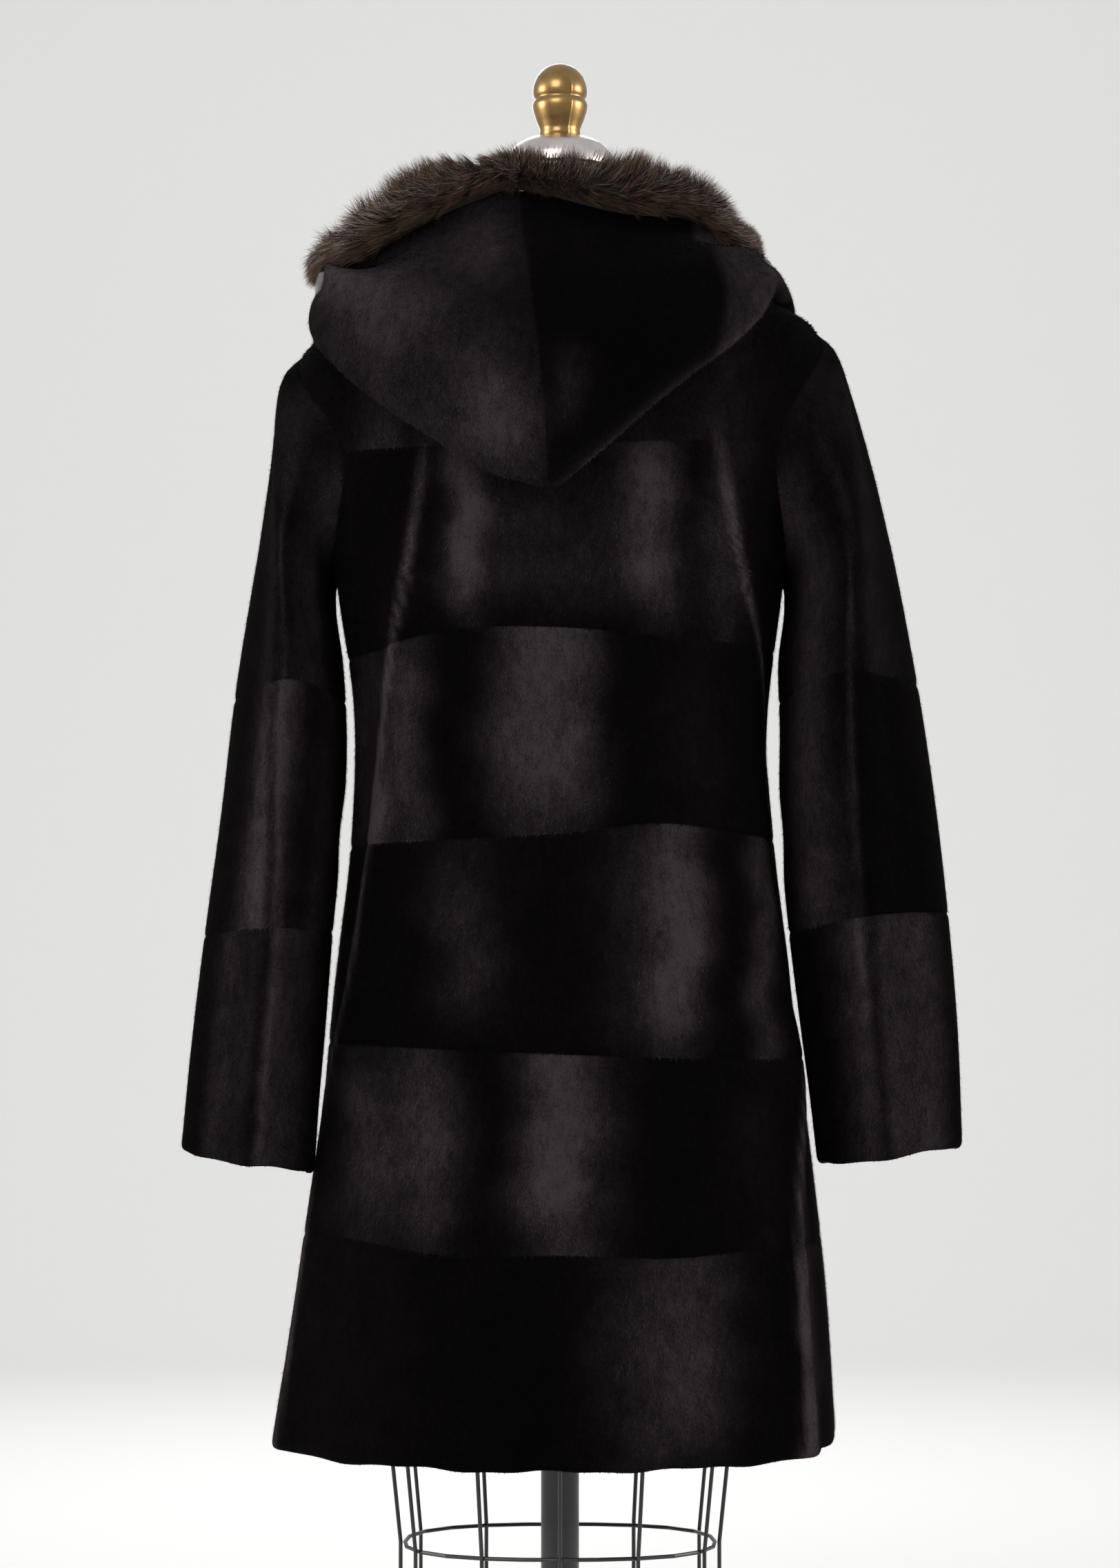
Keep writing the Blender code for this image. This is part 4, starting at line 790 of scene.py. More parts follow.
# ---------------------------------------------------------------- hood
def hood_grid(columns, rows):
    """One smooth curve for each column, through thirteen points: up the neckline's stand,
    down over the coat to the fold, round it, and back up to the face edge."""
    table = np.array(HOOD_TABLE)
    stations = through(np.linspace(-1.0, 1.0, len(table)), table, columns)
    neck, fold, level, thick, puff, edge_x, edge_y, edge_z, _ = stations.T
    neck, fold = np.radians(neck), np.radians(fold)
    thick, puff = thick[:, None], puff[:, None]
    edge = np.stack([edge_x, edge_y, edge_z], axis=-1)
    up = np.array([0.0, 0.0, 1.0])

    def over_coat(share, lift):
        """Points above the coat, a share of the way from the neckline to the fold."""
        angle = neck + (fold - neck) * share
        height = NECKLINE_Z + (level - NECKLINE_Z) * share
        return body_surface(angle, height) + body_normals(angle, height) * lift

    foot = body_surface(neck, np.full(len(neck), NECKLINE_Z)) + up * FOOT_LIFT
    radial = outward_of(foot)
    under_end = over_coat(1.0, HOOD_CLEARANCE)
    over_end = over_coat(1.0, HOOD_CLEARANCE + thick)
    off_coat = unit(over_end - under_end)
    onward = unit(under_end - over_coat(UNDERSIDE_SHARES[-1], HOOD_CLEARANCE))
    fold_start = 1.0 - FOLD_LENGTH * thick[:, 0]
    over_start = over_coat(fold_start, HOOD_CLEARANCE + thick + puff * PUFF_AT_FOLD)
    belly = (over_start + edge) / 2 + off_coat * (puff + BELLY_RISE)
    rise = unit(up + unit(edge - belly) * EDGE_LEAN)
    controls = np.stack([
        foot,
        foot + up * STAND_HEIGHT * STAND_UPRIGHT + radial * STAND_LEAN,
        foot + up * STAND_HEIGHT + radial * STAND_ROLL,
        over_coat(UNDERSIDE_SHARES[0], HOOD_CLEARANCE * 2),
        over_coat(UNDERSIDE_SHARES[1], HOOD_CLEARANCE),
        over_coat(UNDERSIDE_SHARES[2], HOOD_CLEARANCE),
        under_end + onward * thick * FOLD_ENTRY,
        (under_end + over_end + onward * thick) / 2,
        over_end + onward * thick * FOLD_EXIT,
        over_start,
        belly,
        edge - rise * EDGE_STRIP,
        edge,
    ])
    steps = np.linalg.norm(np.diff(controls, axis=0), axis=-1).mean(axis=1)**KNOT_POWER
    knots = np.concatenate([[0.0], np.cumsum(steps)]) / steps.sum()
    points = through(knots, controls, rows)
    normals = grid_normals(points)
    normals[0] = neckline_directions(points[0])
    return points, normals


def hood_patches(table, columns, rows):
    """The sum of round bells over the hood's columns and rows."""
    total = np.zeros((len(rows), len(columns)))
    for column, row, half_columns, half_rows, strength in table:
        total += strength * (bell((rows - row) / half_rows)[:, None]
                             * bell((columns - column) / half_columns))
    return total


def hood_pelt(columns, rows):
    """Half of the hood, with its dents, and a furrow along the seam down its middle."""
    smooth, normals = hood_grid(columns, rows)
    smooth = smooth + normals * hood_patches(HOOD_DENTS, columns, rows)[..., None]
    edge_normals = normals[0]
    normals = grid_normals(smooth)
    normals[0] = edge_normals
    across = np.linalg.norm(smooth - smooth[:, [int(np.argmin(np.abs(columns)))]], axis=-1)
    depth = FURROW_DEPTH * bell(1.6 * across / FURROW_HALF_WIDTH)
    # Painted sheen: patches and whole skins of the hood painted lighter
    nap_sheen = hood_patches(HOOD_NAP_SHEEN, columns, rows)
    for first, last, strength in HOOD_SHEEN_PANELS:
        inside = ease((columns - first) / 0.008) * ease((last - columns) / 0.012)
        nap_sheen += strength * inside * ease((rows[:, None] - 0.45) / 0.05)
    return {"smooth": smooth, "normals": normals, "depth": depth, "nap_sheen": np.clip(nap_sheen, 0, 1.2),
            "length": np.ones(nap_sheen.shape)}


def trim_frame(columns):
    """The edging's centre line on the hood's face edge, with its up and across radii."""
    table = np.array(HOOD_TABLE)
    height = through(np.linspace(-1.0, 1.0, len(table)), table[:, -1], columns)
    points, normals = hood_grid(columns, np.linspace(0.0, 1.0, 45))
    taper = ease(TRIM_END_SHARE + (1 - np.abs(columns)) * TRIM_TAPER)
    half_height = (height / 2 * taper)[:, None]
    rise = unit(points[-1] - points[-2])
    centre = points[-1] - normals[-1] * WALL / 2 + rise * half_height
    half_depth = TRIM_HALF_DEPTH * (half_height / half_height.max() + TRIM_LEAST_DEPTH)
    return centre, rise * half_height, normals[-1] * half_depth


# ---------------------------------------------------------------- meshes from grids
def grid_quads(rows, columns, ring):
    """Corner rows and corner columns of every quad of a grid."""
    row, column = np.meshgrid(np.arange(rows - 1), np.arange(columns - (not ring)), indexing="ij")
    corner_rows = np.stack([row, row, row + 1, row + 1], axis=-1).reshape(-1, 4)
    corner_columns = np.stack([column, column + 1, column + 1, column], axis=-1).reshape(-1, 4)
    return corner_rows, corner_columns


def lengths_along(points, axis):
    """Distance along a grid's rows or columns, from its first line."""
    steps = np.linalg.norm(np.diff(points, axis=axis), axis=-1)
    start = np.zeros_like(np.take(steps, [0], axis=axis))
    return np.concatenate([start, np.cumsum(steps, axis=axis)], axis=axis)


def loose_object(name, vertices, faces, materials):
    """A smooth mesh object at the origin."""
    mesh = bpy.data.meshes.new(name)
    mesh.from_pydata(vertices, [], faces)
    mesh.validate()
    mesh.polygons.foreach_set("use_smooth", np.ones(len(mesh.polygons), bool))
    for material in materials:
        mesh.materials.append(material)
    obj = bpy.data.objects.new(name, mesh)
    bpy.context.scene.collection.objects.link(obj)
    return obj


def new_object(name, vertices, faces, materials):
    """A smooth mesh object that rides on the body and takes the given materials."""
    obj = loose_object(name, vertices, faces, materials)
    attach(obj, BODY)
    return obj


def set_values(mesh, name, values):
    """Stores one number for each vertex, for a material to read."""
    layer = mesh.attributes.new(name, "FLOAT", "POINT")
    layer.data.foreach_set("value", values.astype(np.float32))


def tube_faces(rows, sides):
    """Quads of a grid whose rows are rings, and one face over each end."""
    corner_rows, corner_columns = grid_quads(rows, sides, True)
    faces = (corner_rows * sides + corner_columns % sides).tolist()
    return faces + [list(range(sides))[::-1], list(range((rows - 1) * sides, rows * sides))]


def closed_object(name, vertices, faces, material, slot, corner=None):
    """A closed piece with every face turned outwards, and sharp edges where it turns by
    more than the corner's degrees."""
    obj = new_object(name, vertices, faces, [material])
    work = bmesh.new()
    work.from_mesh(obj.data)
    bmesh.ops.recalc_face_normals(work, faces=work.faces)
    work.to_mesh(obj.data)
    work.free()
    if corner:
        obj.data.set_sharp_from_angle(angle=math.radians(corner))
    return obj


def pelt_object(name, pelt, ring, flip, fur, lining):
    """A closed wall: the pelt's grain side under the hair, the lining side set back by the wall's
    thickness, and rims between. Its UV map is in metres and its painted sheen is an attribute."""
    smooth, normals = pelt["smooth"], pelt["normals"]
    inset = (pelt["depth"] + PELT_DEPTH)[..., None]
    outer = smooth - normals * inset
    inner = smooth - normals * WALL
    rows, columns = smooth.shape[:2]
    corner_rows, corner_columns = grid_quads(rows, columns, ring)
    front = corner_rows * columns + corner_columns % columns
    back = front[:, ::-1] + rows * columns

    def rim(edge, step):
        """Quads between the wall's two sides, along one edge."""
        far = edge + rows * columns
        return np.stack([edge[1:], edge[:-1], far[:-1], far[1:]], axis=-1)[:, ::step]

    across = np.arange(columns + ring) % columns
    rims = [rim(across, 1), rim((rows - 1) * columns + across, -1)]
    if not ring:
        down = np.arange(rows) * columns
        rims += [rim(down, -1), rim(down + columns - 1, 1)]
    faces = np.concatenate([front, back] + rims)
    if flip:
        faces = faces[:, ::-1]
    vertices = np.concatenate([outer.reshape(-1, 3), inner.reshape(-1, 3)])
    obj = new_object(name, vertices, faces, [fur, lining])
    mesh = obj.data
    slots = np.zeros(len(mesh.polygons), np.int32)
    slots[len(front):2 * len(front)] = 1
    mesh.polygons.foreach_set("material_index", slots)
    # the painted sheen, one number for each vertex, on both sides of the wall
    set_values(mesh, "nap_sheen", np.tile(pelt["nap_sheen"].ravel(), 2))
    u = lengths_along(smooth, 1)
    v = lengths_along(smooth, 0)
    loops = np.empty(len(mesh.loops), np.int32)
    mesh.loops.foreach_get("vertex_index", loops)
    loops %= rows * columns
    uv = np.stack([u.ravel()[loops], v.ravel()[loops]], axis=-1)
    mesh.uv_layers.new(name="cut").data.foreach_set("uv", uv.ravel().astype(np.float32))
    return obj


def cut_of(pelt, ring):
    """The flat width, length and area of a pelt, measured along its grid."""
    points = pelt["smooth"]
    if ring:
        points = np.concatenate([points, points[:, :1]], axis=1)
    width = lengths_along(points, 1)[:, -1].max()
    length = lengths_along(points, 0)[-1].max()
    across, along = np.diff(points[:-1], axis=1), np.diff(points[:, :-1], axis=0)
    area = np.linalg.norm(np.cross(across, along), axis=-1).sum()
    return float(width), float(length), float(min(area, width * length))


# ---------------------------------------------------------------- hair
def scatter(pelt, ring, flow_sign, count, rng):
    """Random places on a pelt, as many for each equal area: a place is a blend of its quad's four
    corners. Returns points, normals, flow down the fur, painted sheen and length."""
    points = pelt["smooth"] - pelt["normals"] * pelt["depth"][..., None]
    flow = unit(np.gradient(pelt["smooth"], axis=0)) * flow_sign
    stacked = np.concatenate([points, pelt["normals"], flow, pelt["nap_sheen"][..., None],
                              pelt["length"][..., None]], axis=-1)
    if ring:
        stacked = np.concatenate([stacked, stacked[:, :1]], axis=1)
    across = np.diff(stacked[:-1, :, :3], axis=1)
    along = np.diff(stacked[:, :-1, :3], axis=0)
    area = np.linalg.norm(np.cross(across, along), axis=-1)
    edges = np.concatenate([[0.0], np.cumsum(area.ravel())])
    quad = np.searchsorted(edges, rng.random(count) * edges[-1], side="right") - 1
    row, column = np.divmod(np.clip(quad, 0, area.size - 1), area.shape[1])
    u, v = rng.random((2, count, 1))
    mixed = ((1 - u) * (1 - v) * stacked[row, column] + u * (1 - v) * stacked[row, column + 1]
             + (1 - u) * v * stacked[row + 1, column] + u * v * stacked[row + 1, column + 1])
    return mixed[:, :3], unit(mixed[:, 3:6]), unit(mixed[:, 6:9]), mixed[:, 9], mixed[:, 10:]


def set_hair_shading(mesh, normals, values):
    """Shades each hair with the pelt's own normal, so that the pile reads as one soft
    surface, and stores its attributes."""
    mesh.normals_split_custom_set_from_vertices(normals)
    for name, value in values.items():
        set_values(mesh, name, value)


def pile_object(name, pelt, ring, flow_sign, props, material, seed):
    """Clipped fur: one thin triangle for each tuft, rooted in the pelt, leaning down the
    flow by the pile's lean and turned a little at random."""
    rng = np.random.default_rng(seed)
    area = cut_of(pelt, ring)[2]
    count = min(int(area * 1e4 * props.pile_density), props.pile_most)
    roots, normals, flow, nap_sheen, trimmed = scatter(pelt, ring, flow_sign, count, rng)
    lean = math.radians(props.pile_lean) + rng.normal(0.0, LEAN_SPREAD, (count, 1))
    across = unit(np.cross(normals, flow))
    swing = rng.normal(0.0, SWING_SPREAD, (count, 1))
    down = unit(flow * np.cos(swing) + across * np.sin(swing))
    reach = unit(down * np.sin(lean) + normals * np.cos(lean))
    across = unit(np.cross(normals, reach))
    length = props.pile_length * trimmed * (0.80 + 0.35 * rng.random((count, 1)))
    width = props.pile_width * (0.7 + 0.6 * rng.random((count, 1)))
    start = roots - normals * (PELT_DEPTH + ROOT_DEPTH)
    tips = start + reach * length
    vertices = np.stack([start + across * width / 2, start - across * width / 2, tips], axis=1)
    faces = np.arange(count * 3).reshape(-1, 3)
    obj = new_object(name, vertices.reshape(-1, 3), faces, [material])
    shade = unit(normals + rng.normal(0.0, SHADE_SPREAD, (count, 3)))
    tone = rng.random(count)
    # each tuft carries the painted sheen of its place on the pelt
    set_hair_shading(obj.data, np.repeat(shade, 3, axis=0), {
        "nap_sheen": np.repeat(nap_sheen, 3),
        "tone": np.repeat(tone, 3),
        "tip": np.tile((0.0, 0.0, 1.0), count),
    })
    return obj


def guard_hair_object(name, first, last, props, material, seed):
    """Long fur: each hair is a strip of two lengths on a bent line (a quadratic curve from
    root through belly to tip). It grows from a thin core, lies the way the edging's slow
    flow and its own tuft lie, and its tip draws in towards the tuft's."""
    rng = np.random.default_rng(seed)
    tufts, count = props.tuft_count // 2, props.hair_count // 2
    places = np.linspace(first, last, 400)
    centre, rise, depth = trim_frame(places)
    line = np.concatenate([centre, rise, depth, unit(np.gradient(centre, axis=0))], axis=1)
    knots = np.linspace(first, last, TRIM_LOCKS)
    flow = rng.normal(0.0, 1.0, (TRIM_LOCKS, 3)) * np.array(LOCK_SWINGS)

    def frame_at(at):
        """Centre, up radius, outer radius and direction along the edging."""
        values = np.stack([np.interp(at, places, column) for column in line.T], axis=-1)
        return values[:, :3], values[:, 3:6], values[:, 6:9], values[:, 9:]

    def comb(at, turn, drift, swirl):
        """Where a hair on the edging points, and the way straight out of it there."""
        _, up, out, along = frame_at(at)
        swing, bend = np.cos(turn)[:, None], np.sin(turn)[:, None]
        outward = unit(unit(out) * bend - unit(up) * swing)
        slow = through(knots, flow, at)
        sweep = props.sweep * np.tanh(at * 6)[:, None] + slow[:, :1] + drift[:, None]
        lift = COMB_UP + slow[:, 1:2] + swirl[:, None]
        below = np.clip(swing, 0, 1)
        over = unit(out) * below * COMB_OVER
        way = outward * COMB_OUT + along * sweep + unit(up) * lift * (1 - below) + over
        droop = bell((at - DROOP_AT) / DROOP_HALF_WIDTH)
        way[:, 2] -= droop * DROOP_PULL
        return unit(way), outward, slow[:, 2] + DROOP_LENGTHENS * droop

    tuft_at = first + (last - first) * (np.arange(tufts) + rng.random(tufts)) / tufts
    tuft_turn = rng.random(tufts) * 2 * math.pi
    tuft_drift, tuft_swirl = rng.normal(0.0, TUFT_SPREAD, (2, tufts))
    tuft_tone = rng.random(tufts)
    own = rng.integers(0, tufts, count)
    at = np.clip(tuft_at[own] + rng.normal(0.0, props.tuft_spread, count), first, last)
    turn = tuft_turn[own] + rng.normal(0.0, TUFT_ROUND, count)
    middle, up, out, _ = frame_at(at)
    roots = middle + TRIM_CORE * (out * np.sin(turn)[:, None] - up * np.cos(turn)[:, None])
    drift, swirl = (own_way[own] + rng.normal(0.0, HAIR_SPREAD, count)
                    for own_way in (tuft_drift, tuft_swirl))
    way, outward, length = comb(at, turn, drift, swirl)
    size = np.linalg.norm(up, axis=1) / TRIM_FULL_RADIUS
    reach = props.hair_length * (0.70 + 0.45 * rng.random(count)) * np.clip(
        size, 0.62, 1.2) * (1 + length)
    tips = roots + way * reach[:, None]
    tuft_way, tuft_outward, _ = comb(tuft_at[own], tuft_turn[own], tuft_drift[own],
                                     tuft_swirl[own])
    tuft_middle, tuft_up, _, _ = frame_at(tuft_at[own])
    tuft_tips = (tuft_middle + tuft_outward * np.linalg.norm(tuft_up, axis=1)[:, None] * TRIM_CORE
                 + tuft_way * reach[:, None])
    tips += (tuft_tips - tips) * (0.15 + 0.35 * rng.random((count, 1)))
    belly = roots + unit(outward + way) * reach[:, None] * HAIR_BELLY
    s = np.array([0.0, 0.5, 1.0])[None, :, None]
    path = (1 - s)**2 * roots[:, None] + 2 * s * (1 - s) * belly[:, None] + s**2 * tips[:, None]
    side = unit(np.cross(np.gradient(path, axis=1), outward[:, None])
                + rng.normal(0.0, 0.25, (count, 1, 3)))
    half = props.hair_width / 2 * np.array([1.0, 0.85])[None, :, None] * (
        0.6 + 0.8 * rng.random((count, 1, 1)))
    vertices = np.concatenate([path[:, :2] - side[:, :2] * half, path[:, :2] + side[:, :2] * half,
                               path[:, 2:]], axis=1)
    pattern = np.array([(0, 2, 3), (0, 3, 1), (1, 3, 4)])
    faces = (np.arange(count)[:, None, None] * 5 + pattern).reshape(-1, 3)
    obj = new_object(name, vertices.reshape(-1, 3), faces, [material])
    normals = unit(outward + rng.normal(0.0, 0.30, (count, 3)))
    tone = np.clip(tuft_tone[own] * 0.45 + rng.random(count) * 0.55, 0, 1)
    set_hair_shading(obj.data, np.repeat(normals, 5, axis=0), {
        "tip": np.tile((0.0, 0.5, 0.0, 0.5, 1.0), count),
        "tone": np.repeat(tone, 5),
    })
    return obj


def trim_core_object(columns, sides, material):
    """The skin that carries the long hair: a roll on the edging's line, at a share of its
    two radii, closed at its ends."""
    centre, rise, depth = trim_frame(columns)
    turn = np.linspace(0.0, 2 * math.pi, sides, endpoint=False)[:, None]
    down = TRIM_WOOL * np.cos(turn) + (TRIM_FOOT - TRIM_WOOL) * np.clip(np.cos(turn), 0, 1)**3
    rings = centre[:, None] + depth[:, None] * TRIM_WOOL * np.sin(turn) - rise[:, None] * down
    faces = [face[::-1] for face in tube_faces(len(columns), sides)]
    return closed_object("trim_skin", rings.reshape(-1, 3), faces, material, "sable_fur")


# ---------------------------------------------------------------- turned and lofted pieces
def turned_mesh(profile, foot_z, sides, swell=None):
    """Corners and faces of a profile of radius and height carried round the upright axis.
    An end on the axis is closed; swell adds to the radius as a function of the turn."""
    rim = [corner for corner in profile if corner[0] > 0]
    radius, height = np.array(rim).T
    turn = np.linspace(0.0, 2 * math.pi, sides, endpoint=False)
    reach = radius[:, None] + (0.0 if swell is None else swell(turn))
    rings = np.stack([reach * np.sin(turn), reach * np.cos(turn),
                      foot_z + height[:, None] + 0 * turn], axis=-1)
    corner_rows, corner_columns = grid_quads(len(rim), sides, True)
    faces = (corner_rows * sides + corner_columns % sides).tolist()
    vertices = rings.reshape(-1, 3).tolist()
    ring = np.arange(sides)
    for end, start in ((0, 0), (-1, (len(rim) - 1) * sides)):
        if profile[end][0] == 0:
            pole = np.full(sides, len(vertices))
            vertices.append((0.0, 0.0, foot_z + profile[end][1]))
            fan = np.stack([start + (ring + 1) % sides, start + ring, pole], axis=-1)
            faces += (fan if end == 0 else fan[:, ::-1]).tolist()
    return vertices, faces


def turned_object(name, profile, foot_z, sides, material, slot, swell=None):
    """A closed turned piece, with sharp edges where its profile turns a corner."""
    return closed_object(name, *turned_mesh(profile, foot_z, sides, swell), material, slot,
                         TURNED_CORNER)


def torso_object(material):
    """The form's shell: the section surface with a shallow trough along each cover seam."""
    rows, sides = TORSO_GRID
    angle, level = np.meshgrid(np.linspace(0.0, 2 * math.pi, sides, endpoint=False),
                               np.linspace(TORSO_FOOT_Z, NECK_TOP_Z, rows))
    points = section_surface(TORSO_SECTIONS, angle, level)
    normals = grid_normals(points, ring=True)
    degrees = np.degrees(angle)
    radius = np.linalg.norm(points[..., :2], axis=-1)
    trough = 0.0
    for seam in TORSO_SEAM_ANGLES:
        away = np.radians(turned_away(degrees, seam)) * radius
        trough = trough + TORSO_SEAM_DEPTH * bell(away / TORSO_SEAM_HALF_WIDTH)
    points = points - normals * trough[..., None] * ((level - TORSO_FOOT_Z) > 0.001)[..., None]
    return closed_object("form_shell", points.reshape(-1, 3), tube_faces(rows, sides), material,
                         "form_cloth", TORSO_CORNER)


# ---------------------------------------------------------------- materials
def linear(colour):
    """An sRGB hex colour as linear red, green, blue and alpha."""
    channels = [int(colour[i:i + 2], 16) / 255 for i in (1, 3, 5)]
    lit = [c / 12.92 if c <= 0.04045 else ((c + 0.055) / 1.055)**2.4 for c in channels]
    return (*lit, 1.0)


def swatch(colour):
    """A colour property's value, as linear red, green, blue and alpha."""
    return (*colour, 1.0)


def add(material, kind, inputs=None, **settings):
    """Adds a node with its settings; an input's value is a constant or another's output."""
    tree = material.node_tree
    node = tree.nodes.new(kind)
    for name, value in settings.items():
        setattr(node, name, value)
    for name, value in (inputs or {}).items():
        if isinstance(value, bpy.types.NodeSocket):
            tree.links.new(value, node.inputs[name])
        else:
            node.inputs[name].default_value = value
    return node


def new_material(name, **constants):
    """A material whose shader starts from constants set on its own sockets."""
    material = bpy.data.materials.new(name)
    material.use_nodes = True
    shader = material.node_tree.nodes["Principled BSDF"]
    for socket, value in constants.items():
        shader.inputs[socket.replace("_", " ")].default_value = value
    return material, shader


def place_on(material):
    """Where a point of the surface is on its own object, in metres."""
    return add(material, "ShaderNodeTexCoord").outputs["Object"]


def stored(material, name):
    """A number that the mesh holds for each vertex."""
    return add(material, "ShaderNodeAttribute", attribute_name=name).outputs["Fac"]


def noise(material, place, scale, detail, roughness=0.5):
    """Cloudy noise from 0 to 1, with about so many clouds to a metre as its scale says."""
    return add(material, "ShaderNodeTexNoise", {
        "Vector": place, "Scale": scale, "Detail": detail, "Roughness": roughness,
    }).outputs["Fac"]


def maths(material, operation, *values):
    """One step of arithmetic on numbers and outputs."""
    return add(material, "ShaderNodeMath", dict(enumerate(values)),
               operation=operation).outputs[0]


def paint(material, shader, factor, first, second):
    """Colours the surface between two colours."""
    mix = add(material, "ShaderNodeMix", {"Factor": factor, "A": first, "B": second},
              data_type="RGBA")
    material.node_tree.links.new(mix.outputs[2], shader.inputs["Base Color"])


def polish(material, shader, value, least, most):
    """Varies the surface's roughness between two values."""
    gloss = add(material, "ShaderNodeMapRange", {"Value": value, "To Min": least, "To Max": most})
    material.node_tree.links.new(gloss.outputs["Result"], shader.inputs["Roughness"])


def emboss(material, shader, height, strength, distance):
    """Raises the surface by up to a distance in metres."""
    bump = add(material, "ShaderNodeBump",
               {"Strength": strength, "Distance": distance, "Height": height})
    material.node_tree.links.new(bump.outputs["Normal"], shader.inputs["Normal"])


def mink_material(name, props, on_hair):
    """Sheared mink: keratin hair clipped level and close. Its colour is mixed from dark to warm
    grey by the painted sheen stored on the mesh: painted shade where the fur would point at the
    eye, painted sheen in stripes and patches where it would lie over, painted shade beyond the long
    pleats and painted highlights on their ridges, broken up by 33 mm clouds, 6 mm ripples of combed
    fur and single 0.7 mm tufts."""
    material, shader = new_material(
        name, Roughness=1.0, Specular_IOR_Level=0.02, Sheen_Weight=props.sheen,
        Sheen_Roughness=0.24, Sheen_Tint=linear("#C4B8BC"))
    nap_sheen = stored(material, "nap_sheen")
    place = place_on(material)
    combed = add(material, "ShaderNodeMapping", {"Vector": place, "Scale": COMBING}).outputs[0]
    cloud = noise(material, place, 30.0, 3.0)
    ripple = noise(material, combed, 170.0, 3.0, 0.6)
    tufts = noise(material, combed, 1400.0, 2.0)
    clouded = maths(material, "MULTIPLY_ADD", cloud, CLOUD_SWING, CLOUD_LEAST)
    lit = maths(material, "MULTIPLY", nap_sheen, clouded)
    hazy = maths(material, "MULTIPLY_ADD", cloud, HAZE, lit)
    grain = maths(material, "MULTIPLY_ADD", tufts, TUFT_SHARE, ripple)
    level = maths(material, "SUBTRACT", grain, GRAIN_BASE)
    shade = maths(material, "MULTIPLY", hazy, level)
    if on_hair:
        spread = maths(material, "MULTIPLY_ADD", stored(material, "tone"), TONE_SWING, TONE_LEAST)
        shade = maths(material, "MULTIPLY", shade, spread)
    deep = maths(material, "POWER", shade, SHEEN_CONTRAST)
    # the colour runs from the painted shade's dark to the painted sheen's light
    paint(material, shader, deep, swatch(props.mink_dark), swatch(props.mink_light))
    if not on_hair:
        emboss(material, shader, grain, 0.9, 0.0012)
    return material


def lining_material():
    """Acetate satin: smooth floats of thread that gleam, with a soft crossing ripple."""
    material, shader = new_material(
        "acetate_satin", Roughness=0.36, Specular_IOR_Level=0.45, Sheen_Weight=0.15,
        Anisotropic=0.4)
    place = place_on(material)
    weave = add(material, "ShaderNodeTexWave",
                {"Vector": place, "Scale": 420.0, "Distortion": 1.0, "Detail": 1.0},
                bands_direction="Z")
    paint(material, shader, noise(material, place, 22.0, 3.0), linear("#15100F"),
          linear("#2B2323"))
    emboss(material, shader, weave.outputs["Fac"], 0.12, 0.0004)
    return material


def sable_material(props):
    """Sable guard hair: long, silky and round, dark at its root and pale at its tip, so it
    glints in thin streaks."""
    material, shader = new_material(
        "sable_guard_hair", Roughness=0.40, Specular_IOR_Level=0.40, Sheen_Weight=0.12,
        Sheen_Roughness=0.40, Sheen_Tint=linear("#C9A98F"))
    ramp = add(material, "ShaderNodeValToRGB", {"Fac": stored(material, "tip")})
    ramp.color_ramp.elements[0].color = swatch(props.sable_root)
    ramp.color_ramp.elements[1].color = swatch(props.sable_tip)
    middle = ramp.color_ramp.elements.new(0.55)
    middle.color = swatch(props.sable_middle)
    brightness = maths(material, "MULTIPLY_ADD", stored(material, "tone"), 0.90, 0.36)
    toned = add(material, "ShaderNodeVectorMath",
                {0: ramp.outputs["Color"], "Scale": brightness}, operation="SCALE")
    material.node_tree.links.new(toned.outputs[0], shader.inputs["Base Color"])
    return material


def sable_skin_material(props):
    """Sable under-wool: short dense dark wool between the guard hairs."""
    material, shader = new_material(
        "sable_under_wool", Roughness=0.9, Specular_IOR_Level=0.15, Sheen_Weight=0.2)
    wool = noise(material, place_on(material), 260.0, 4.0)
    paint(material, shader, wool, linear("#120C0A"), swatch(props.sable_root))
    return material


def jersey_material(props):
    """Cotton jersey stretched over the form: dull, fine and a little slubbed. Its 0.4 mm
    ribs are drawn 1.5 mm wide, so that they show."""
    material, shader = new_material(
        "cotton_jersey", Roughness=0.88, Specular_IOR_Level=0.25, Sheen_Weight=0.25)
    place = place_on(material)
    ribs = add(material, "ShaderNodeTexWave",
               {"Vector": place, "Scale": 210.0, "Distortion": 0.6}, bands_direction="X")
    paint(material, shader, noise(material, place, 160.0, 4.0), swatch(props.cloth_dark),
          swatch(props.cloth_light))
    emboss(material, shader, ribs.outputs["Fac"], 0.25, 0.0004)
    return material


def gilt_material(props):
    """Lacquered gilt brass: cast, polished, with faint wear and fingerprints in its gloss."""
    material, shader = new_material("gilt_cast_brass", Metallic=1.0, Coat_Weight=0.35,
                                    Coat_Roughness=0.12)
    smear = noise(material, place_on(material), 70.0, 5.0, 0.6)
    paint(material, shader, smear, swatch(props.gilt_dark), swatch(props.gilt_light))
    polish(material, shader, smear, 0.24, 0.46)
    emboss(material, shader, smear, 0.08, 0.0006)
    return material


def nickel_material():
    """Spun nickel plate: rings from the spinning tool every 0.4 mm, drawn 1 mm wide."""
    material, shader = new_material("spun_nickel", Metallic=1.0, Anisotropic=0.35)
    place = place_on(material)
    rings = add(material, "ShaderNodeTexWave",
                {"Vector": place, "Scale": 320.0, "Distortion": 0.3},
                wave_type="RINGS", rings_direction="Z")
    smear = noise(material, place, 60.0, 4.0)
    paint(material, shader, smear, linear("#BDB2B0"), linear("#DED6D3"))
    polish(material, shader, smear, 0.24, 0.42)
    emboss(material, shader, rings.outputs["Fac"], 0.08, 0.0002)
    return material


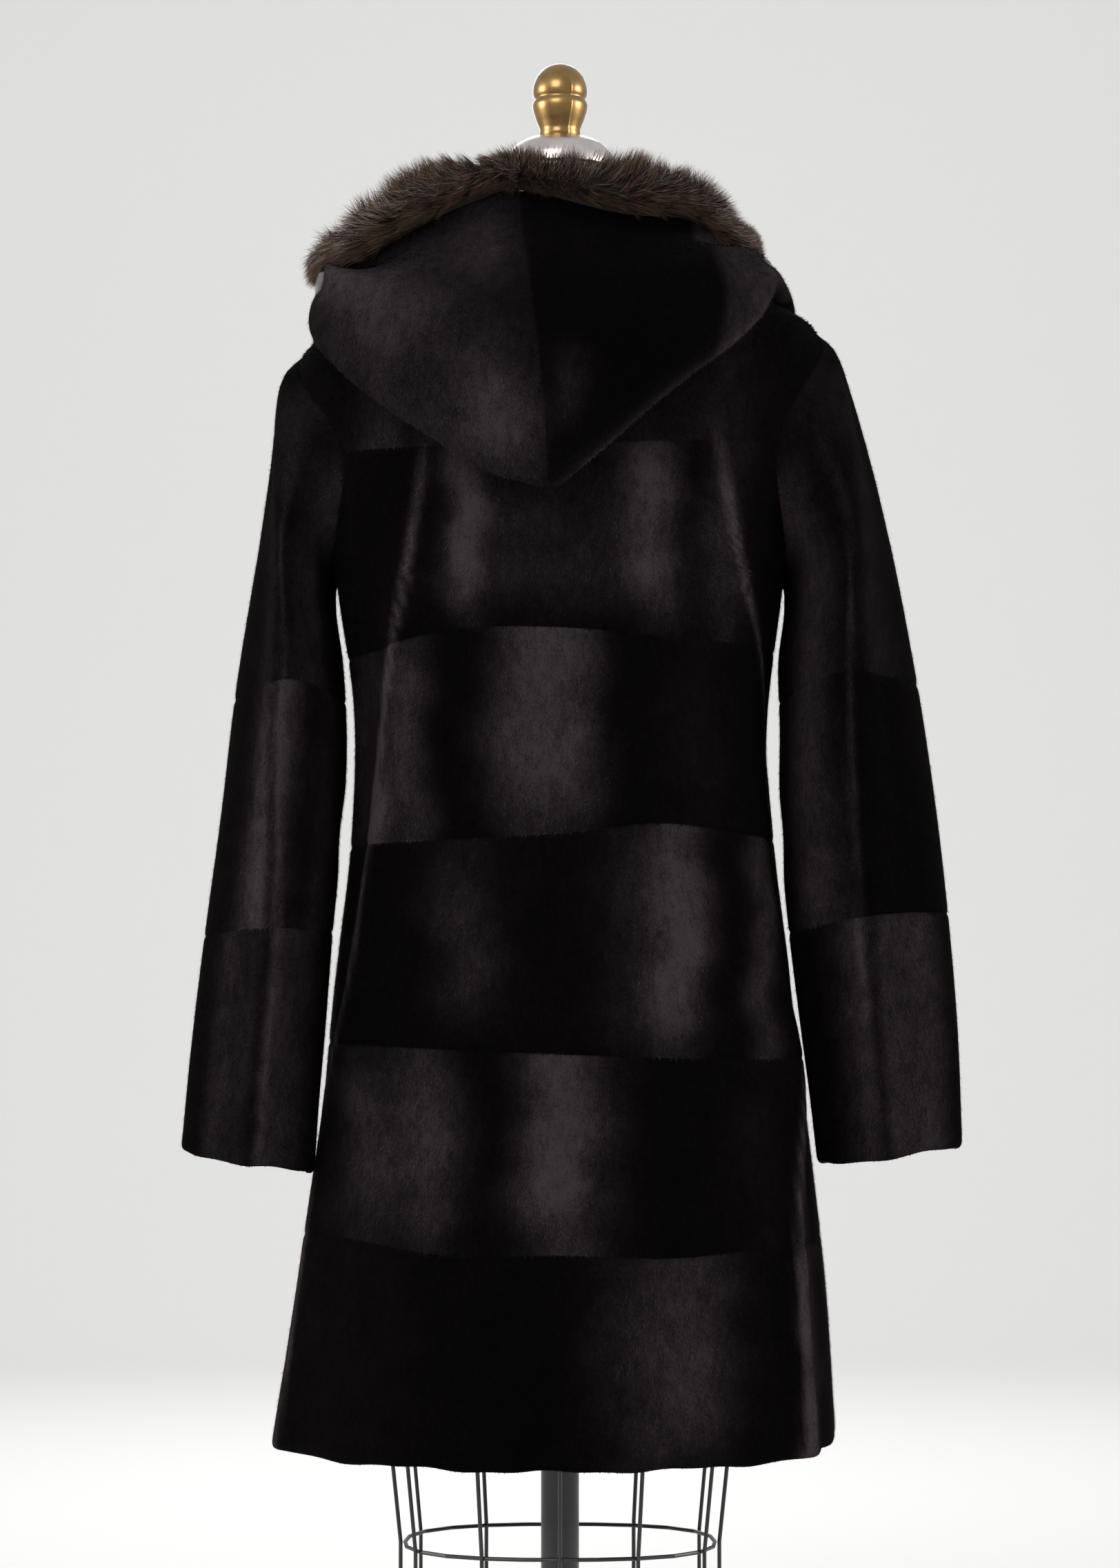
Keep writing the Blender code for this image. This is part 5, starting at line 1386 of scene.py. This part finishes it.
def enamel_material(name, roughness):
    """Stove enamel on steel: black, half gloss, with the orange peel of sprayed paint."""
    material, shader = new_material(name, Specular_IOR_Level=0.5, Coat_Weight=0.2,
                                    Coat_Roughness=0.25)
    place = place_on(material)
    dust = noise(material, place, 24.0, 6.0)
    paint(material, shader, dust, linear("#0B0B0C"), linear("#1B1A1B"))
    polish(material, shader, dust, roughness - 0.08, roughness + 0.12)
    emboss(material, shader, noise(material, place, 380.0, 2.0), 0.15, 0.0002)
    return material


# ---------------------------------------------------------------- properties
def number_property(name, description, value, **settings):
    return bpy.props.FloatProperty(name=name, description=description, default=value, **settings)


def count_property(name, description, value):
    return bpy.props.IntProperty(name=name, description=description, default=value)


def colour_property(name, description, value):
    return bpy.props.FloatVectorProperty(
        name=name, description=description, subtype="COLOR", size=3, min=0.0, max=1.0,
        default=linear(value)[:3])


def length_property(name, description, value):
    return number_property(name, description, value, min=0.0, precision=4, subtype="DISTANCE",
                           unit="LENGTH")


def power_property(name, description, value):
    return number_property(name, description, value, subtype="POWER", unit="POWER")


class MinkFurProperties(bpy.types.PropertyGroup):
    pile_length: length_property("Pile length", "Length of a clipped tuft", 0.0040)
    pile_width: length_property("Tuft width", "Width of a clipped tuft at its root", 0.00055)
    pile_lean: number_property("Lean", "Degrees that the pile leans down the pelt", 62.0)
    pile_density: number_property("Density", "Tufts for each square centimetre", 25.0)
    pile_most: count_property("Most tufts", "The most tufts on one piece", 126000)
    sheen: number_property("Sheen", "How strongly the pile glows at its edges", 0.013)
    # Painted shade and painted sheen: the pile runs from the dark colour, where the fur would point
    # at the eye, to the light one, where it would lie over
    mink_dark: colour_property("Dark", "The nap that points at the eye", "#030202")
    mink_light: colour_property("Light", "The nap that lies over", "#363033")


class SableTrimProperties(bpy.types.PropertyGroup):
    hair_length: length_property("Hair length", "Length of a guard hair", 0.021)
    hair_width: length_property("Hair width", "Width of a strip of guard hairs", 0.00048)
    hair_count: count_property("Hairs", "Guard hairs on the whole edging", 100000)
    tuft_count: count_property("Tufts", "Tufts on the whole edging", 1100)
    tuft_spread: number_property(
        "Tuft spread", "Spread of a tuft's roots, as a share of the edging", 0.009)
    sweep: number_property("Sweep", "How far hairs lean towards the front ends", 0.75)
    sable_root: colour_property("Root", "The under-wool and the hair's root", "#1A110E")
    sable_middle: colour_property("Middle", "The middle of a guard hair", "#3E2A20")
    sable_tip: colour_property("Tip", "The pale tip", "#735843")


class DressFormProperties(bpy.types.PropertyGroup):
    gilt_dark: colour_property("Gilt, worn", "The gilt where it is rubbed", "#765A38")
    gilt_light: colour_property("Gilt, bright", "The gilt where it is bright", "#A8874F")
    cloth_dark: colour_property("Cloth, shaded", "Between the jersey's slubs", "#B8AE9E")
    cloth_light: colour_property("Cloth, lit", "The jersey's slubs", "#D8CFC0")


class StageProperties(bpy.types.PropertyGroup):
    floor_colour: colour_property("Floor", "The plain pale floor", "#DEDDDB")
    key_power: power_property("Key light", "Power of the large soft light", 70.0)
    side_power: power_property("Side lights", "Power of each side light", 45.0)
    wash_power: power_property("Backdrop light", "Power of the light on the wall", 85.0)
    sky: number_property("Surround", "Brightness of the pale surround", 0.78)


# ---------------------------------------------------------------- operators
def coat_materials(scene):
    """The coat's materials, made once and then found again by name."""
    if "sheared_mink_pile" not in bpy.data.materials:
        mink_material("sheared_mink_pile", scene.mink_fur, True)
        mink_material("sheared_mink_pelt", scene.mink_fur, False)
        lining_material()
    return [bpy.data.materials[name]
            for name in ("sheared_mink_pelt", "acetate_satin", "sheared_mink_pile")]


def dress(context, name, node, pelt, ring, flip, flow_sign, seed):
    """Makes one pelt and its pile, in place of a node."""
    pelt_skin, lining, pile = coat_materials(context.scene)
    skin = pelt_object(name, pelt, ring, flip, pelt_skin, lining)
    hair = pile_object(name + "_pile", pelt, ring, flow_sign, context.scene.mink_fur, pile, seed)
    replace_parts(skin, node)


class MINK_OT_body(bpy.types.Operator):
    """Make the back and the two fronts"""

    bl_idname = "mink.body"
    bl_label = "Back and fronts"

    def execute(self, context):
        levels = body_levels(skirt_rows=92, armhole_steps=30, yoke_steps=12)
        panels = (
            ("back_pelt", "coat_back", side_edge(-1, -1), side_edge(1, -1), 88),
            ("front_left_pelt", "coat_front_left", side_edge(1, 1), centre_front(1), 44),
            ("front_right_pelt", "coat_front_right", centre_front(-1), side_edge(-1, 1), 44),
        )
        for seed, (name, node, first, last, columns) in enumerate(panels, start=11):
            pelt = body_pelt(first, last, columns, levels)
            dress(context, name, node, pelt, False, False, -1, seed)
        return {"FINISHED"}


class MINK_OT_sleeves(bpy.types.Operator):
    """Make the two hanging sleeves"""

    bl_idname = "mink.sleeves"
    bl_label = "Sleeves"

    def execute(self, context):
        for seed, (name, node, side, table) in enumerate((
                ("left_sleeve_pelt", "sleeve_left", 1, LEFT_SLEEVE),
                ("right_sleeve_pelt", "sleeve_right", -1, RIGHT_SLEEVE)), start=21):
            pelt = sleeve_pelt(side, table, armhole_steps=28, rows=78)
            dress(context, name, node, pelt, True, side < 0, 1, seed)
        return {"FINISHED"}


class MINK_OT_hood(bpy.types.Operator):
    """Make the two halves of the laid-back hood"""

    bl_idname = "mink.hood"
    bl_label = "Hood"

    def execute(self, context):
        rows = np.linspace(0.0, 1.0, 90)
        for seed, (name, node, side) in enumerate((
                ("hood_right_pelt", "hood_right", -1),
                ("hood_left_pelt", "hood_left", 1)), start=31):
            beside = np.array([0.0, 0.004, 0.009, 0.016])
            columns = np.concatenate([beside, np.linspace(0.026, 1.0, 76)])
            columns = columns if side > 0 else -columns[::-1]
            pelt = hood_pelt(columns, rows)
            dress(context, name, node, pelt, False, False, -1, seed)
        return {"FINISHED"}


class MINK_OT_trim(bpy.types.Operator):
    """Make the long fur along the hood's edge"""

    bl_idname = "mink.trim"
    bl_label = "Sable edging"

    def execute(self, context):
        props = context.scene.sable_trim
        skin = trim_core_object(np.linspace(-1.0, 1.0, 161), 20, sable_skin_material(props))
        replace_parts(skin, "hood_trim")
        hair = sable_material(props)
        guard_hair_object("sable_right", -1.0, 0.0, props, hair, 41)
        guard_hair_object("sable_left", 0.0, 1.0, props, hair, 42)
        return {"FINISHED"}


class MINK_OT_form(bpy.types.Operator):
    """Make the form's torso, neck plate and finial"""

    bl_idname = "mink.form"
    bl_label = "Dress form"

    def execute(self, context):
        props = context.scene.dress_form
        torso = torso_object(jersey_material(props))
        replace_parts(torso, "form_torso")
        plate = turned_object("neck_plate", PLATE_PROFILE, PLATE_FOOT_Z, 96,
                              nickel_material(), "nickel_plate")
        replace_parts(plate, "form_neck_plate")

        def parting_line(turn):
            """A thin raised line on both sides, where the mould's halves met."""
            away = (np.degrees(turn) - PARTING_TURN + 90.0) % 180.0 - 90.0
            return PARTING_HEIGHT * bell(away / 1.6)

        finial = turned_object("finial_knob", FINIAL_PROFILE, FINIAL_FOOT_Z, 180,
                               gilt_material(props), "gilt_brass", parting_line)
        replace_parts(finial, "form_finial")
        return {"FINISHED"}


class MINK_OT_stand(bpy.types.Operator):
    """Make the post and the foot, and enamel the cage"""

    bl_idname = "mink.stand"
    bl_label = "Post, foot and cage"

    def execute(self, context):
        enamel = enamel_material("black_stove_enamel", 0.36)
        height = POST_TOP_Z - POST_FOOT_Z
        post = ((0.0, 0.0), (POST_RADIUS, 0.0), (POST_RADIUS, height), (0.0, height))
        for name, node, profile, foot_z, sides in (
                ("stand_post", "form_post", post, POST_FOOT_Z, 64),
                ("stand_foot", "form_base", BASE_PROFILE, 0.0, 128)):
            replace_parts(turned_object(name, profile, foot_z, sides, enamel, "black_enamel"), node)
        wire = enamel_material("black_enamelled_wire", 0.44)
        for name in CAGE_NODES:
            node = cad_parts[name]
            node.data.materials.clear()
            node.data.materials.append(wire)
        return {"FINISHED"}


class MINK_OT_stage(bpy.types.Operator):
    """Make the floor, the lights and the camera"""

    bl_idname = "mink.stage"
    bl_label = "Stage"

    def execute(self, context):
        scene = context.scene
        props = scene.fur_stage
        material, _ = new_material("pale_paper_floor", Roughness=0.9,
                                   Base_Color=swatch(props.floor_colour))
        bend = np.linspace(0.0, math.pi / 2, 25)
        cove = np.stack([STAGE_FLAT + STAGE_COVE * np.sin(bend),
                         STAGE_COVE * (1 - np.cos(bend))], axis=-1)
        profile = [(0.0, 0.0), (STAGE_FLAT / 2, 0.0), *cove.tolist(),
                   (STAGE_FLAT + STAGE_COVE, STAGE_HEIGHT)]
        loose_object("studio_dish", *turned_mesh(profile, 0.0, 128), [material])

        world = bpy.data.worlds.new("pale_studio")
        scene.world = world
        world.use_nodes = True
        surround = world.node_tree.nodes["Background"]
        surround.inputs["Color"].default_value = linear("#E9EBEE")
        surround.inputs["Strength"].default_value = props.sky

        # name, place, aim, size, power
        lights = (
            ("key", (1.1, 3.2, 2.9), (0.0, 0.0, 0.95), 1.8, props.key_power),
            ("side_left", (2.6, 0.4, 1.7), (0.0, 0.0, 1.0), 1.2, props.side_power),
            ("side_right", (-2.6, 0.4, 1.7), (0.0, 0.0, 1.0), 1.2, props.side_power),
            ("front_fill", (0.3, -3.4, 2.9), (0.0, 0.0, 1.0), 2.0, props.side_power),
            ("backdrop_wash", (0.0, -3.0, 3.6), (0.0, -8.0, 1.4), 2.4, props.wash_power),
        )
        for name, place, aim, size, power in lights:
            data = bpy.data.lights.new(name, "AREA")
            data.shape = "SQUARE"
            data.size = size
            data.energy = power
            light = bpy.data.objects.new(name, data)
            scene.collection.objects.link(light)
            light.location = place
            toward = np.array(aim) - np.array(place)
            yaw = math.atan2(toward[1], toward[0]) - math.pi / 2
            pitch = math.atan2(toward[2], math.hypot(toward[0], toward[1])) + math.pi / 2
            light.rotation_euler = (pitch, 0.0, yaw)

        data = bpy.data.cameras.new("photo_camera")
        data.lens = CAMERA_LENS
        data.sensor_fit = "VERTICAL"
        data.sensor_height = CAMERA_SENSOR
        camera = bpy.data.objects.new("photo_camera", data)
        scene.collection.objects.link(camera)
        camera.location = CAMERA_PLACE
        camera.rotation_euler = (math.radians(CAMERA_TILT), 0.0, math.pi)
        scene.camera = camera
        scene.view_settings.view_transform = "Standard"
        return {"FINISHED"}


OPERATORS = (MINK_OT_body, MINK_OT_sleeves, MINK_OT_hood, MINK_OT_trim, MINK_OT_form,
             MINK_OT_stand, MINK_OT_stage)
GROUPS = {
    "mink_fur": MinkFurProperties,
    "sable_trim": SableTrimProperties,
    "dress_form": DressFormProperties,
    "fur_stage": StageProperties,
}


class MINK_PT_panel(bpy.types.Panel):
    """Lists the coat's sizes, colours and making steps"""

    bl_idname = "MINK_PT_panel"
    bl_label = "Mink Coat"
    bl_space_type = "VIEW_3D"
    bl_region_type = "UI"
    bl_category = "Mink Coat"

    def draw(self, context):
        for attribute, group in GROUPS.items():
            box = self.layout.box()
            for name in group.__annotations__:
                box.prop(getattr(context.scene, attribute), name)
        for operator in OPERATORS:
            self.layout.operator(operator.bl_idname)


def register():
    for group in GROUPS.values():
        bpy.utils.register_class(group)
    for attribute, group in GROUPS.items():
        setattr(bpy.types.Scene, attribute, bpy.props.PointerProperty(type=group))
    for operator in OPERATORS:
        bpy.utils.register_class(operator)
    bpy.utils.register_class(MINK_PT_panel)


def unregister():
    bpy.utils.unregister_class(MINK_PT_panel)
    for operator in reversed(OPERATORS):
        bpy.utils.unregister_class(operator)
    for attribute, group in GROUPS.items():
        delattr(bpy.types.Scene, attribute)
        bpy.utils.unregister_class(group)


def main():
    register()
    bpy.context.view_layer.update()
    for operator in OPERATORS:
        group, name = operator.bl_idname.split(".")
        getattr(getattr(bpy.ops, group), name)()


if __name__ == "__main__":
    main()
